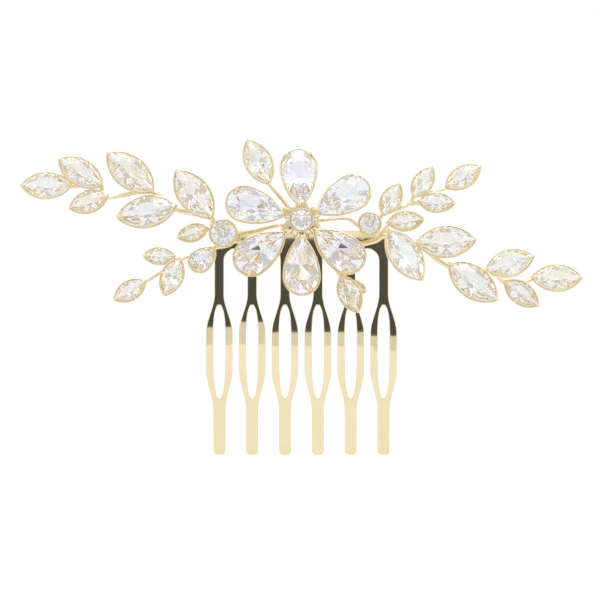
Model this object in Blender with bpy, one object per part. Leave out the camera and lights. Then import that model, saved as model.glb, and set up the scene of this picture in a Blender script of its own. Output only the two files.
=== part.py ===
"""Decorative hair comb: a stamped comb with a stone-set flower, two leaf sprays, two sprigs and two buds.

The comb stands upright with its teeth down. X runs along the bar, and -Y is the side that is seen.
The origin is the middle of the bar's flat back. Lengths are in metres.
A lift is a distance in front of the bar's front face.
"""

import math

import bmesh
import bpy
from mathutils import Matrix, Vector

MM = 0.001

# Comb
TOOTH_COUNT = 6
TOOTH_PITCH = 6.9 * MM
TOOTH_LENGTH = 43.3 * MM
SHEET_THICKNESS = 1.0 * MM
BAR_HEIGHT = 3.8 * MM
NECK_WIDTH = 2.0 * MM
EYE_WIDTH = 5.6 * MM
SLOT_TOP = 11.8 * MM
SLOT_LENGTH = 19.6 * MM
SLOT_WIDTH = 2.5 * MM
SLOT_TOP_BLUNTNESS = 4.0
SLOT_FOOT_BLUNTNESS = 2.6
CROTCH_WALL = 2.4 * MM
SWELL_END = 0.30
DRAW_START = 0.70
PRONG_WIDTH = 2.6 * MM
TIP_RADIUS = 0.9 * MM
TOOTH_SWEEP = 2.2 * MM

# Stones, by the length of the cut stone
PETAL_LENGTH = 12.0 * MM
PETAL_WIDTH = 7.0 * MM
LEAF_LARGE = 12.0 * MM
LEAF_MEDIUM = 10.0 * MM
LEAF_SMALL = 8.0 * MM
LEAF_FINE = 7.0 * MM
LEAF_TINY = 6.0 * MM
LEAF_MITE = 4.0 * MM
LEAF_SLENDERNESS = 0.50
DROP_LENGTH = 6.0 * MM
DROP_WIDTH = 4.0 * MM
LEFT_ROUND = 5.0 * MM
RIGHT_ROUND = 4.0 * MM
CENTRE_ROUND = 4.0 * MM

# Proportions of every cut, as shares of the stone's width or of its outline
STONE_SIDES = 8
GIRDLE = 0.2 * MM
CROWN_SHARE = 0.17
PAVILION_SHARE = 0.40
TABLE_SHARE = 0.55
STAR_SHARE = 0.80
STAR_HEIGHT = 0.58
KEEL_SHARE = 0.55
KEEL_DEPTH = 0.62

# Claw cups
CUP_WALL = 0.45 * MM
CUP_TAPER = 0.80 * MM
STONE_CLEARANCE = 0.12 * MM
SEAT_CLEARANCE = 0.25 * MM
CULET_CLEARANCE = 0.30 * MM
CLAW_WIDTH = 0.9 * MM
CLAW_RISE = 0.25 * MM
CLAW_REACH = 0.45 * MM
CLAW_CLEARANCE = 0.15 * MM
CLAW_THICKNESS = 0.25 * MM
POINT_CLAW_ANGLE = 24.0
PEAR_SHOULDER = 45.0
PEAR_FLANK = 118.0
CUP_STEP_ANGLE = 34.0

# Stems and what holds the pieces together
BRAZE_GAP = 0.3 * MM
STEM_RADIUS = 0.6 * MM
SPRIG_RADIUS = 0.45 * MM
STEM_TAPER = 0.3
STEM_LAP = 0.3 * MM
STEM_LAND = 2.2 * MM
STEM_SIDES = 6
STEM_STEPS = 3
DISC_SIDES = 24
FLOWER_PLATE_RADIUS = 5.0 * MM
POST_RADIUS = 1.55 * MM
CENTRE_RISE = 2.6 * MM

# Places, on the face of the comb as (x, z)
FLOWER_CENTRE = (0.0 * MM, 4.0 * MM)
PETAL_INNER = 3.0 * MM
LEAF_TILT = 12.0
ROUND_TILT = 10.0
LEFT_ROOT_GAP = 0.2 * MM
LEFT_ROOT_HEIGHT = 1.4 * MM
RIGHT_ROOT_INSET = 1.9 * MM
RIGHT_ROOT_HEIGHT = 3.4 * MM

# Worked out from the values above
RIM = STONE_CLEARANCE + CUP_WALL
SHOULDER_RADIUS = (TOOTH_PITCH - NECK_WIDTH) / 2
BAR_HALF = (TOOTH_COUNT - 1) * TOOTH_PITCH / 2 + NECK_WIDTH / 2
STEM_LIFT = BRAZE_GAP + STEM_RADIUS
SPRIG_LIFT = BRAZE_GAP + SPRIG_RADIUS
CUP_FLOOR_LIFT = BRAZE_GAP + 2 * STEM_RADIUS + BRAZE_GAP
FLOWER_REACH = PETAL_INNER + PETAL_LENGTH + 2 * RIM
LEFT_ROOT = (-FLOWER_REACH - LEFT_ROOT_GAP, LEFT_ROOT_HEIGHT)
RIGHT_ROOT = (FLOWER_REACH - RIGHT_ROOT_INSET, RIGHT_ROOT_HEIGHT)
LAND_END = min(BAR_HALF, FLOWER_REACH + STEM_LAND)

FACET_TURN = 360.0 / (2 * STONE_SIDES)
SHARP_ANGLE = 40.0
GOLD_COLOUR = (0.87, 0.72, 0.45, 1.0)
CRYSTAL_COLOUR = (0.95, 0.95, 0.96, 1.0)


def smooth_step(start, end, value):
    """0 before start, 1 after end, and an even ease between them."""
    share = min(1.0, max(0.0, (value - start) / (end - start)))
    return share * share * (3.0 - 2.0 * share)


class Cut:
    """The outline of a stone at its girdle. A pear's point and a leaf's foot lie at 180 degrees."""

    def __init__(self, shape, length, width):
        self.shape = shape
        self.length = length
        self.width = width

    def grown(self, by):
        return Cut(self.shape, self.length + 2 * by, self.width + 2 * by)

    def bow(self, reach, along):
        """Half-width of an arc that is widest at 0 and closes at reach."""
        radius = (reach * reach + self.width * self.width / 4) / self.width
        return math.sqrt(max(0.0, radius * radius - along * along)) - (radius - self.width / 2)

    def point(self, degrees):
        turn = math.radians(degrees)
        side = 1.0 if math.sin(turn) >= 0 else -1.0
        if self.shape == "round":
            return Vector((self.length / 2 * math.cos(turn), self.width / 2 * math.sin(turn)))
        if self.shape == "marquise":
            x = self.length / 2 * math.cos(turn)
            return Vector((x, side * self.bow(self.length / 2, x)))
        middle = (self.length - self.width) / 2
        if math.cos(turn) >= 0:
            return Vector((middle + self.width / 2 * math.cos(turn), self.width / 2 * math.sin(turn)))
        reach = self.length / 2 + middle
        x = reach * math.cos(turn)
        return Vector((middle + x, side * self.bow(reach, x)))

    @property
    def crown(self):
        return GIRDLE / 2 + CROWN_SHARE * self.width

    @property
    def pavilion(self):
        return GIRDLE / 2 + PAVILION_SHARE * self.width

    @property
    def cup_depth(self):
        return self.pavilion + CULET_CLEARANCE

    def crown_height(self, share):
        """Height of the crown where the outline has shrunk to this share."""
        star = GIRDLE / 2 + STAR_HEIGHT * CROWN_SHARE * self.width
        if share > STAR_SHARE:
            return GIRDLE / 2 + (star - GIRDLE / 2) * (1 - share) / (1 - STAR_SHARE)
        return star + (self.crown - star) * (STAR_SHARE - share) / (STAR_SHARE - TABLE_SHARE)


def marquise(length):
    return Cut("marquise", length, length * LEAF_SLENDERNESS)


def round_cut(diameter):
    return Cut("round", diameter, diameter)


PETAL = Cut("pear", PETAL_LENGTH, PETAL_WIDTH)
DROP = Cut("pear", DROP_LENGTH, DROP_WIDTH)
LARGE = marquise(LEAF_LARGE)
MEDIUM = marquise(LEAF_MEDIUM)
SMALL = marquise(LEAF_SMALL)
FINE = marquise(LEAF_FINE)
TINY = marquise(LEAF_TINY)
MITE = marquise(LEAF_MITE)


def clear_scene():
    for obj in list(bpy.data.objects):
        bpy.data.objects.remove(obj, do_unlink=True)


def make_material(name, colour, roughness, metallic, transmission):
    material = bpy.data.materials.new(name)
    material.use_nodes = True
    shader = material.node_tree.nodes["Principled BSDF"]
    shader.inputs["Base Color"].default_value = colour
    shader.inputs["Roughness"].default_value = roughness
    shader.inputs["Metallic"].default_value = metallic
    shader.inputs["Transmission Weight"].default_value = transmission
    return material


def make_object(name, shape, material, parent, place=None, smooth=False):
    """A mesh object whose closed faces all point outwards, put at its place."""
    points, faces = shape
    mesh = bpy.data.meshes.new(name)
    mesh.from_pydata([tuple(point) for point in points], [], faces)
    work = bmesh.new()
    work.from_mesh(mesh)
    bmesh.ops.recalc_face_normals(work, faces=work.faces)
    work.to_mesh(mesh)
    work.free()
    if smooth:
        mesh.shade_smooth()
        mesh.set_sharp_from_angle(angle=math.radians(SHARP_ANGLE))
    mesh.materials.append(material)
    obj = bpy.data.objects.new(name, mesh)
    bpy.context.scene.collection.objects.link(obj)
    obj.parent = parent
    if place is not None:
        obj.matrix_local = place
    return obj


def union(obj, others):
    """Joins other shapes to an object, and hides them as helpers."""
    for other in others:
        other.hide_render = True
        other.display_type = "WIRE"
        join = obj.modifiers.new("join_" + other.name, "BOOLEAN")
        join.operation = "UNION"
        join.solver = "EXACT"
        join.object = other


def bridge(faces, lower, upper):
    """Quads between two closed rings of the same length."""
    for index in range(len(lower)):
        after = (index + 1) % len(lower)
        faces.append((lower[index], lower[after], upper[after], upper[index]))


# Comb plate

def tooth_half_width(drop, flared):
    """Half-width of a tooth's outer edge this far below the bar, with or without the fillet under the bar."""
    slot_end = SLOT_TOP + SLOT_LENGTH
    swell = smooth_step(SLOT_TOP - CROTCH_WALL, SLOT_TOP + SWELL_END * SLOT_LENGTH, drop)
    draw_in = smooth_step(SLOT_TOP + DRAW_START * SLOT_LENGTH, slot_end + CROTCH_WALL, drop)
    width = NECK_WIDTH + (EYE_WIDTH - NECK_WIDTH) * swell + (PRONG_WIDTH - EYE_WIDTH) * draw_in
    half = width / 2
    if flared and drop < SHOULDER_RADIUS:
        half += SHOULDER_RADIUS - math.sqrt(SHOULDER_RADIUS ** 2 - (SHOULDER_RADIUS - drop) ** 2)
    left = TOOTH_LENGTH - drop
    if left < TIP_RADIUS:
        half -= TIP_RADIUS - math.sqrt(max(0.0, TIP_RADIUS ** 2 - (TIP_RADIUS - left) ** 2))
    return half


def slot_half_width(drop):
    """Half-width of the eye's slot: blunt at the top, drawn to a rounded point at the bottom."""
    middle = SLOT_TOP + SLOT_LENGTH / 2
    share = (drop - middle) / (SLOT_LENGTH / 2)
    power = SLOT_TOP_BLUNTNESS if share < 0 else SLOT_FOOT_BLUNTNESS
    return SLOT_WIDTH / 2 * math.sqrt(max(0.0, 1.0 - abs(share) ** power))


def tooth_drops():
    """Stations down a tooth, and which of them lie inside the slot."""
    shoulder_steps = 4
    slot_steps = 12
    tip_steps = 4
    drops = []
    for i in range(shoulder_steps + 1):
        drops.append(SHOULDER_RADIUS * (1 - math.cos(math.pi / 2 * i / shoulder_steps)))
    drops.append(SLOT_TOP - CROTCH_WALL)
    slot_first = len(drops)
    for i in range(slot_steps + 1):
        drops.append(SLOT_TOP + SLOT_LENGTH * (1 - math.cos(math.pi * i / slot_steps)) / 2)
    slot_last = len(drops) - 1
    drops.append(SLOT_TOP + SLOT_LENGTH + CROTCH_WALL)
    for i in range(tip_steps + 1):
        drops.append(TOOTH_LENGTH - TIP_RADIUS * (1 - math.sin(math.pi / 2 * i / tip_steps)))
    return drops, range(slot_first + 1, slot_last)


def sheet_sweep(drop):
    """How far the sheet curves back towards the head this far below the bar. It is flat down to the necks."""
    share = max(0.0, drop - SHOULDER_RADIUS) / (TOOTH_LENGTH - SHOULDER_RADIUS)
    return TOOTH_SWEEP * share * share


def add_tooth(points, faces, middle, first, last):
    """Adds one tooth's face as two strips that part round the slot; returns its three points at the bar."""
    drops, slot = tooth_drops()
    rows = []
    for index, drop in enumerate(drops):
        left = -tooth_half_width(drop, not first)
        right = tooth_half_width(drop, not last)
        if index in slot:
            gap = slot_half_width(drop)
            offsets = (left, -gap, gap, right)
        else:
            offsets = (left, 0.0, right)
        rows.append(list(range(len(points), len(points) + len(offsets))))
        points.extend((middle + offset, -BAR_HEIGHT / 2 - drop) for offset in offsets)
    for upper, lower in zip(rows, rows[1:]):
        faces.append((upper[0], upper[1], lower[1], lower[0]))
        faces.append((upper[-2], upper[-1], lower[-1], lower[-2]))
    return rows[0]


def make_comb(material, parent):
    points = []
    faces = []
    foot_rows = []
    for tooth in range(TOOTH_COUNT):
        middle = (tooth - (TOOTH_COUNT - 1) / 2) * TOOTH_PITCH
        foot_rows.append(add_tooth(points, faces, middle, tooth == 0, tooth == TOOTH_COUNT - 1))
    for tooth in range(1, TOOTH_COUNT):
        shared = foot_rows[tooth - 1][-1]
        old = foot_rows[tooth][0]
        faces = [tuple(shared if index == old else index for index in face) for face in faces]
        foot_rows[tooth][0] = shared
    lower = [foot_rows[0][0]] + [index for row in foot_rows for index in row[1:]]
    upper = list(range(len(points), len(points) + len(lower)))
    points.extend((points[index][0], BAR_HEIGHT / 2) for index in lower)
    for index in range(len(lower) - 1):
        faces.append((upper[index], upper[index + 1], lower[index + 1], lower[index]))
    return make_object("comb", thicken(points, faces), material, parent)


def thicken(points, faces):
    """Turns a flat outline into sheet: a back, a front, and a wall along each free edge."""
    used = sorted({index for face in faces for index in face})
    number = {old: new for new, old in enumerate(used)}
    faces = [tuple(number[index] for index in face) for face in faces]
    back = []
    for index in used:
        x, z = points[index]
        back.append((x, sheet_sweep(-BAR_HEIGHT / 2 - z), z))
    front = [(x, y - SHEET_THICKNESS, z) for x, y, z in back]
    count = len(used)
    solid = list(faces) + [tuple(index + count for index in reversed(face)) for face in faces]
    walls = {}
    for face in faces:
        for start, end in zip(face, face[1:] + face[:1]):
            if walls.pop((end, start), None) is None:
                walls[(start, end)] = (start, end, end + count, start + count)
    solid.extend(walls.values())
    return back + front, solid


# Stones

def stone_shape(cut):
    """A brilliant cut stretched over the outline: table, stars, kites, girdle facets, girdle and pavilion."""
    points = []
    table = []
    stars = []
    keels = []
    girdle_top = []
    girdle_base = []
    keel_height = -GIRDLE / 2 - KEEL_DEPTH * PAVILION_SHARE * cut.width

    def add(flat, share, height):
        points.append((flat.x * share, flat.y * share, height))
        return len(points) - 1

    for step in range(STONE_SIDES):
        main = cut.point(2 * step * FACET_TURN)
        between = cut.point((2 * step + 1) * FACET_TURN)
        table.append(add(main, TABLE_SHARE, cut.crown))
        stars.append(add(between, STAR_SHARE, cut.crown_height(STAR_SHARE)))
        keels.append(add(between, KEEL_SHARE, keel_height))
        for flat in (main, between):
            girdle_top.append(add(flat, 1.0, GIRDLE / 2))
            girdle_base.append(add(flat, 1.0, -GIRDLE / 2))
    culet = add(Vector((0.0, 0.0)), 0.0, -cut.pavilion)

    faces = [tuple(table)]
    bridge(faces, girdle_base, girdle_top)
    for step in range(STONE_SIDES):
        after = (step + 1) % STONE_SIDES
        here = 2 * step
        half_way = here + 1
        beyond = 2 * after
        faces.append((table[step], stars[step], table[after]))
        faces.append((table[step], stars[step - 1], girdle_top[here], stars[step]))
        faces.append((stars[step], girdle_top[here], girdle_top[half_way]))
        faces.append((stars[step], girdle_top[half_way], girdle_top[beyond]))
        faces.append((keels[step], girdle_base[half_way], girdle_base[here]))
        faces.append((keels[step], girdle_base[beyond], girdle_base[half_way]))
        faces.append((culet, keels[step], girdle_base[here], keels[step - 1]))
    return points, faces


# Claw cups

def cup_stations(cut):
    """Angles round the cup, and for each step to the next angle whether a claw stands on it."""
    if cut.shape == "marquise":
        flank = math.degrees(CLAW_WIDTH / cut.length)
        spans = [(0, POINT_CLAW_ANGLE), (90, flank), (180, POINT_CLAW_ANGLE), (270, flank)]
    elif cut.shape == "pear":
        shoulder = math.degrees(CLAW_WIDTH / cut.width)
        flank = math.degrees(CLAW_WIDTH / cut.length)
        spans = [(PEAR_SHOULDER, shoulder), (PEAR_FLANK, flank), (180, POINT_CLAW_ANGLE),
                 (360 - PEAR_FLANK, flank), (360 - PEAR_SHOULDER, shoulder)]
    else:
        flank = math.degrees(CLAW_WIDTH / cut.width)
        spans = [(centre, flank) for centre in (45, 135, 225, 315)]
    stations = []
    for index, (centre, half) in enumerate(spans):
        stations.append((centre - half, True))
        if half == POINT_CLAW_ANGLE:
            stations.append((centre, True))
        next_centre, next_half = spans[(index + 1) % len(spans)]
        end = next_centre - next_half + (360 if index == len(spans) - 1 else 0)
        count = math.ceil((end - centre - half) / CUP_STEP_ANGLE)
        for step in range(count):
            stations.append((centre + half + (end - centre - half) * step / count, False))
    return stations


def cup_shape(cut):
    """A tapered cup open at both ends, with claws that rise past the girdle and lean over the crown."""
    stations = cup_stations(cut)
    rim_height = -GIRDLE / 2 - SEAT_CLEARANCE
    hook_share = 1 - 2 * CLAW_REACH / cut.width
    hook_height = cut.crown_height(hook_share) + CLAW_CLEARANCE
    levels = {
        "floor_in": (STONE_CLEARANCE - CUP_TAPER, -cut.cup_depth),
        "floor_out": (RIM - CUP_TAPER, -cut.cup_depth),
        "rim_in": (STONE_CLEARANCE, rim_height),
        "rim_out": (RIM, rim_height),
        "rise_in": (STONE_CLEARANCE, GIRDLE / 2 + CLAW_RISE),
        "rise_out": (RIM, GIRDLE / 2 + CLAW_RISE),
        "hook_in": (-CLAW_REACH, hook_height),
        "hook_out": (STONE_CLEARANCE - CLAW_REACH / 2 + CUP_WALL / 2, hook_height + CLAW_THICKNESS),
    }
    points = []
    ring = {}
    for level, (growth, height) in levels.items():
        outline = cut.grown(growth)
        ring[level] = range(len(points), len(points) + len(stations))
        points.extend((*outline.point(angle), height) for angle, _ in stations)
    faces = []
    bridge(faces, ring["floor_out"], ring["rim_out"])
    bridge(faces, ring["rim_in"], ring["floor_in"])
    bridge(faces, ring["floor_in"], ring["floor_out"])
    for index, (_, claw) in enumerate(stations):
        after = (index + 1) % len(stations)
        top = "hook" if claw else "rim"
        faces.append((ring[top + "_in"][index], ring[top + "_out"][index],
                      ring[top + "_out"][after], ring[top + "_in"][after]))
        if not claw:
            continue
        for low, high in (("rim", "rise"), ("rise", "hook")):
            for side in ("_in", "_out"):
                faces.append((ring[low + side][index], ring[low + side][after],
                              ring[high + side][after], ring[high + side][index]))
            if not stations[index - 1][1]:
                faces.append((ring[low + "_in"][index], ring[low + "_out"][index],
                              ring[high + "_out"][index], ring[high + "_in"][index]))
            if not stations[after][1]:
                faces.append((ring[low + "_in"][after], ring[low + "_out"][after],
                              ring[high + "_out"][after], ring[high + "_in"][after]))
    used = sorted({index for face in faces for index in face})
    number = {old: new for new, old in enumerate(used)}
    return [points[index] for index in used], [tuple(number[i] for i in face) for face in faces]


# Placing

def face_point(x, z, lift):
    """A point in front of the comb's face."""
    return Vector((x, -SHEET_THICKNESS - lift, z))


def facing(angle, pitch, tilt, turn):
    """Axes of a cup seen from the front: length at angle, far end raised by pitch, face tilted up."""
    a = math.radians(angle)
    p = math.radians(pitch)
    along = Vector((math.cos(a), 0.0, math.sin(a)))
    front = Vector((0.0, -1.0, 0.0))
    length = along * math.cos(p) + front * math.sin(p)
    normal = front * math.cos(p) - along * math.sin(p)
    width = normal.cross(length)
    axes = Matrix((length, width, normal)).transposed()
    lean = Matrix.Rotation(math.radians(-tilt), 3, "X")
    swing = Matrix.Rotation(math.radians(turn), 3, "Z")
    return swing @ lean @ axes


def placing(axes, origin):
    """The matrix of a piece with these axes at this point."""
    return Matrix.Translation(origin) @ axes.to_4x4()


class Leaf:
    """A stone in a cup that grows from a stem."""

    def __init__(self, stone_name, cut, angle, pitch=0.0, tilt=LEAF_TILT, turn=0.0):
        self.stone_name = stone_name
        self.cut = cut
        self.axes = facing(angle, pitch, tilt, turn)

    def place(self, foot):
        """The cup's place when its foot sits on this point of the stem."""
        anchor = Vector((STEM_LAP - self.cut.length / 2, 0.0, STEM_LAP - self.cut.cup_depth))
        return placing(self.axes, foot - self.axes @ anchor)


def smooth_path(points):
    """Points along an even curve through the given ones."""
    path = []
    last = len(points) - 1
    for index in range(last):
        before = points[max(index - 1, 0)]
        start = points[index]
        end = points[index + 1]
        beyond = points[min(index + 2, last)]
        for step in range(STEM_STEPS):
            t = step / STEM_STEPS
            path.append(0.5 * (2 * start + (end - before) * t
                               + (2 * before - 5 * start + 4 * end - beyond) * t * t
                               + (3 * start - before - 3 * end + beyond) * t ** 3))
    path.append(points[last])
    return path


def stem_shape(points, radius):
    """A round wire along the path, thinner towards its far end, with flat ends."""
    path = smooth_path(points)
    last = len(path) - 1
    shape_points = []
    faces = []
    rings = []
    across = Vector((0.0, 1.0, 0.0))
    for index, point in enumerate(path):
        tangent = (path[min(index + 1, last)] - path[max(index - 1, 0)]).normalized()
        across = (across - tangent * across.dot(tangent)).normalized()
        upright = tangent.cross(across)
        size = radius * (1 - STEM_TAPER * index / last)
        rings.append(range(len(shape_points), len(shape_points) + STEM_SIDES))
        for side in range(STEM_SIDES):
            turn = 2 * math.pi * side / STEM_SIDES
            shape_points.append(point + size * (across * math.cos(turn) + upright * math.sin(turn)))
    for lower, upper in zip(rings, rings[1:]):
        bridge(faces, lower, upper)
    faces.append(tuple(reversed(rings[0])))
    faces.append(tuple(rings[-1]))
    return shape_points, faces


def bar_foot(side, inset, height, lift):
    """A point on the bar's front, this far in from where a stem's land on the bar ends on that side."""
    return face_point(side * (LAND_END - inset), height, lift)


def sprout(root, out, up, lift):
    """A point of a spray, measured from its root in lengths of a large leaf."""
    return face_point(root[0] + out * LEAF_LARGE, root[1] + up * LEAF_LARGE, lift)


def between_petals(angle, reach, lift):
    """A point of a bud, in this direction and this far from the flower's centre."""
    turn = math.radians(angle)
    return face_point(FLOWER_CENTRE[0] + reach * math.cos(turn), FLOWER_CENTRE[1] + reach * math.sin(turn), lift)


def make_spray(name, stems, gold, crystal, parent):
    """One casting of stems and cups, and a separate stone for each cup.

    A stem is a wire radius and a list of stations, and a station is a point and the leaf that grows there.
    """
    pieces = []
    for number, (radius, stations) in enumerate(stems):
        route = [point for point, _ in stations]
        stem_name = name if number == 0 else f"{name}_stem_{number}"
        pieces.append(make_object(stem_name, stem_shape(route, radius), gold, parent, smooth=True))
        for foot, leaf in stations:
            if leaf is None:
                continue
            place = leaf.place(foot)
            make_object(leaf.stone_name, stone_shape(leaf.cut), crystal, parent, place)
            pieces.append(make_object(leaf.stone_name + "_cup", cup_shape(leaf.cut), gold, parent, place))
    union(pieces[0], pieces[1:])


# Flower

PETALS = (
    # name, angle, further out, pitch, tilt, turn
    ("top", 93, -0.4 * MM, -15, 0, 0),
    ("upper_right", 30, 0.2 * MM, 0, 14, 0),
    ("lower_right", -38, 0.0 * MM, 0, 8, 0),
    ("bottom", -90, -0.3 * MM, 0, 4, 10),
    ("lower_left", 217, 0.9 * MM, 0, 8, 0),
    ("upper_left", 163, 0.4 * MM, 0, 12, 0),
)


def make_flower(gold, crystal, parent):
    centre_x, centre_z = FLOWER_CENTRE
    for name, angle, further, pitch, tilt, turn in PETALS:
        axes = facing(angle, pitch, tilt, turn)
        reach = PETAL_INNER + further
        lean = max(0.0, axes.col[0].y) + abs(axes.col[1].y)
        clear_plate = max(0.0, FLOWER_PLATE_RADIUS - reach) * lean
        tip = face_point(centre_x + reach * math.cos(math.radians(angle)),
                         centre_z + reach * math.sin(math.radians(angle)),
                         CUP_FLOOR_LIFT + clear_plate + PETAL.cup_depth)
        place = placing(axes, tip + axes @ Vector((PETAL.length / 2 + RIM, 0.0, 0.0)))
        make_object(f"petal_{name}_setting", cup_shape(PETAL), gold, parent, place)
        make_object(f"petal_{name}_stone", stone_shape(PETAL), crystal, parent, place)
    make_disc("flower_plate", FLOWER_PLATE_RADIUS, BRAZE_GAP, BRAZE_GAP + 2 * STEM_RADIUS, gold, parent)

    cut = round_cut(CENTRE_ROUND)
    floor_lift = CUP_FLOOR_LIFT + CENTRE_RISE
    setting = make_round("centre", cut, FLOWER_CENTRE, floor_lift, 0.0, gold, crystal, parent)
    post_top = floor_lift + CULET_CLEARANCE / 2
    post = make_disc("centre_post", POST_RADIUS, CUP_FLOOR_LIFT, post_top, gold, parent)
    union(setting, [post])


def make_disc(name, radius, low_lift, high_lift, material, parent):
    """A short round post or plate behind the flower's centre."""
    sides = DISC_SIDES
    points = []
    for lift in (low_lift, high_lift):
        for side in range(sides):
            turn = 2 * math.pi * side / sides
            points.append(face_point(FLOWER_CENTRE[0] + radius * math.cos(turn),
                                     FLOWER_CENTRE[1] + radius * math.sin(turn), lift))
    faces = []
    bridge(faces, range(sides), range(sides, 2 * sides))
    faces.append(tuple(range(sides)))
    faces.append(tuple(range(sides, 2 * sides)))
    return make_object(name, (points, faces), material, parent, smooth=True)


def make_round(name, cut, middle, floor_lift, tilt, gold, crystal, parent):
    """A round stone in its own claw cup."""
    place = placing(facing(0, 0, tilt, 0), face_point(*middle, floor_lift + cut.cup_depth))
    make_object(f"{name}_stone", stone_shape(cut), crystal, parent, place)
    return make_object(f"{name}_setting", cup_shape(cut), gold, parent, place)


# Sprays, sprigs and buds

def make_left_side(gold, crystal, parent):
    root = LEFT_ROOT
    make_round("left_round", round_cut(LEFT_ROUND), root, CUP_FLOOR_LIFT, ROUND_TILT, gold, crystal, parent)

    def stone(number):
        return f"left_spray_stone_{number}"

    main = [
        (bar_foot(-1, 5.2 * MM, -0.2 * MM, STEM_LIFT), None),
        (bar_foot(-1, 1.4 * MM, 0.3 * MM, STEM_LIFT), None),
        (sprout(root, -0.19, 0.10, STEM_LIFT), None),
        (sprout(root, -0.23, 0.27, 1.6 * MM), Leaf(stone(1), LARGE, 127, 4)),
        (sprout(root, -0.86, 0.42, 1.9 * MM), Leaf(stone(2), LARGE, 191)),
        (sprout(root, -1.26, 0.72, 1.8 * MM), Leaf(stone(3), LARGE, 140, 4)),
        (sprout(root, -2.05, 0.62, 1.0 * MM), Leaf(stone(4), SMALL, 199)),
        (sprout(root, -2.16, 0.83, 0.6 * MM), Leaf(stone(5), MEDIUM, 149, 4)),
        (sprout(root, -2.69, 0.81, -0.6 * MM), Leaf(stone(6), MEDIUM, 180, -4)),
    ]
    side = [
        (sprout(root, -0.16, 0.06, STEM_LIFT), None),
        (sprout(root, -0.32, 0.05, STEM_LIFT), Leaf(stone(7), TINY, 197)),
    ]
    tie = [
        (between_petals(191, FLOWER_PLATE_RADIUS + BRAZE_GAP, STEM_LIFT), None),
        (between_petals(192, FLOWER_REACH - 6.9 * MM, STEM_LIFT), None),
        (sprout(root, 0.24, -0.03, STEM_LIFT), None),
        (bar_foot(-1, 3.2 * MM, 0.0 * MM, STEM_LIFT), None),
    ]
    make_spray("left_spray_frame", [(STEM_RADIUS, main), (SPRIG_RADIUS, side), (SPRIG_RADIUS, tie)],
               gold, crystal, parent)


def make_left_sprig(gold, crystal, parent):
    root = LEFT_ROOT

    def stone(number):
        return f"lower_left_sprig_stone_{number}"

    main = [
        (bar_foot(-1, 2.2 * MM, -1.3 * MM, SPRIG_LIFT), None),
        (sprout(root, -0.24, -0.27, SPRIG_LIFT), Leaf(stone(1), DROP, 237)),
        (sprout(root, -0.52, -0.36, 1.0 * MM), None),
        (sprout(root, -0.78, -0.50, 1.2 * MM), Leaf(stone(3), SMALL, 249)),
        (sprout(root, -1.10, -0.69, 0.4 * MM), None),
        (sprout(root, -1.40, -0.88, 0.6 * MM), Leaf(stone(4), FINE, 212)),
    ]
    side = [
        (sprout(root, -0.74, -0.47, 1.2 * MM), None),
        (sprout(root, -0.89, -0.42, 1.2 * MM), Leaf(stone(2), TINY, 179)),
    ]
    make_spray("lower_left_sprig_frame", [(SPRIG_RADIUS, main), (SPRIG_RADIUS, side)], gold, crystal, parent)


def make_right_side(gold, crystal, parent):
    root = RIGHT_ROOT
    make_round("right_round", round_cut(RIGHT_ROUND), root, CUP_FLOOR_LIFT, ROUND_TILT, gold, crystal, parent)

    def stone(number):
        return f"right_spray_stone_{number}"

    main = [
        (bar_foot(1, 6.4 * MM, -1.0 * MM, STEM_LIFT), None),
        (bar_foot(1, 2.8 * MM, -0.2 * MM, STEM_LIFT), None),
        (sprout(root, 0.32, -0.21, 1.3 * MM), Leaf(stone(1), LARGE, -59, 4, turn=14)),
        (sprout(root, 0.85, -0.38, 1.7 * MM), Leaf(stone(2), LARGE, 3)),
        (sprout(root, 1.42, -0.77, 1.8 * MM), Leaf(stone(3), LARGE, -38)),
        (sprout(root, 2.11, -0.82, 1.4 * MM), Leaf(stone(4), MEDIUM, 13, 18)),
        (sprout(root, 2.40, -1.06, 0.6 * MM), Leaf(stone(5), SMALL, -37)),
        (sprout(root, 2.87, -0.97, -0.6 * MM), Leaf(stone(6), MEDIUM, 0, -4)),
    ]
    side = [
        (sprout(root, 0.20, -0.20, STEM_LIFT), None),
        (sprout(root, 0.28, -0.08, 0.6 * MM), None),
        (sprout(root, 0.36, 0.00, 0.5 * MM), Leaf(stone(7), FINE, 5)),
    ]
    make_spray("right_spray_frame", [(STEM_RADIUS, main), (SPRIG_RADIUS, side)], gold, crystal, parent)


def make_right_sprig(gold, crystal, parent):
    root = RIGHT_ROOT

    def stone(number):
        return f"upper_right_sprig_stone_{number}"

    main = [
        (bar_foot(1, 5.5 * MM, 0.4 * MM, SPRIG_LIFT), None),
        (sprout(root, 0.03, -0.05, SPRIG_LIFT), None),
        (sprout(root, 0.18, 0.09, SPRIG_LIFT), None),
        (sprout(root, 0.25, 0.17, 1.0 * MM), Leaf(stone(1), FINE, 62)),
        (sprout(root, 0.48, 0.25, 1.2 * MM), None),
        (sprout(root, 0.70, 0.35, 1.3 * MM), None),
        (sprout(root, 0.79, 0.48, 1.3 * MM), Leaf(stone(2), FINE, 58)),
        (sprout(root, 1.07, 0.54, 1.2 * MM), None),
        (sprout(root, 1.37, 0.63, 1.0 * MM), Leaf(stone(4), SMALL, 32)),
    ]
    side = [
        (sprout(root, 0.70, 0.35, 1.3 * MM), None),
        (sprout(root, 0.90, 0.36, 1.3 * MM), Leaf(stone(3), FINE, -3)),
    ]
    tie = [
        (between_petals(0, FLOWER_PLATE_RADIUS + BRAZE_GAP, SPRIG_LIFT), None),
        (between_petals(3, FLOWER_REACH - 6.9 * MM, SPRIG_LIFT), None),
        (sprout(root, -0.16, -0.06, SPRIG_LIFT), None),
        (sprout(root, -0.04, -0.14, SPRIG_LIFT), None),
    ]
    make_spray("upper_right_sprig_frame", [(SPRIG_RADIUS, main), (SPRIG_RADIUS, side), (SPRIG_RADIUS, tie)],
               gold, crystal, parent)


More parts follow.
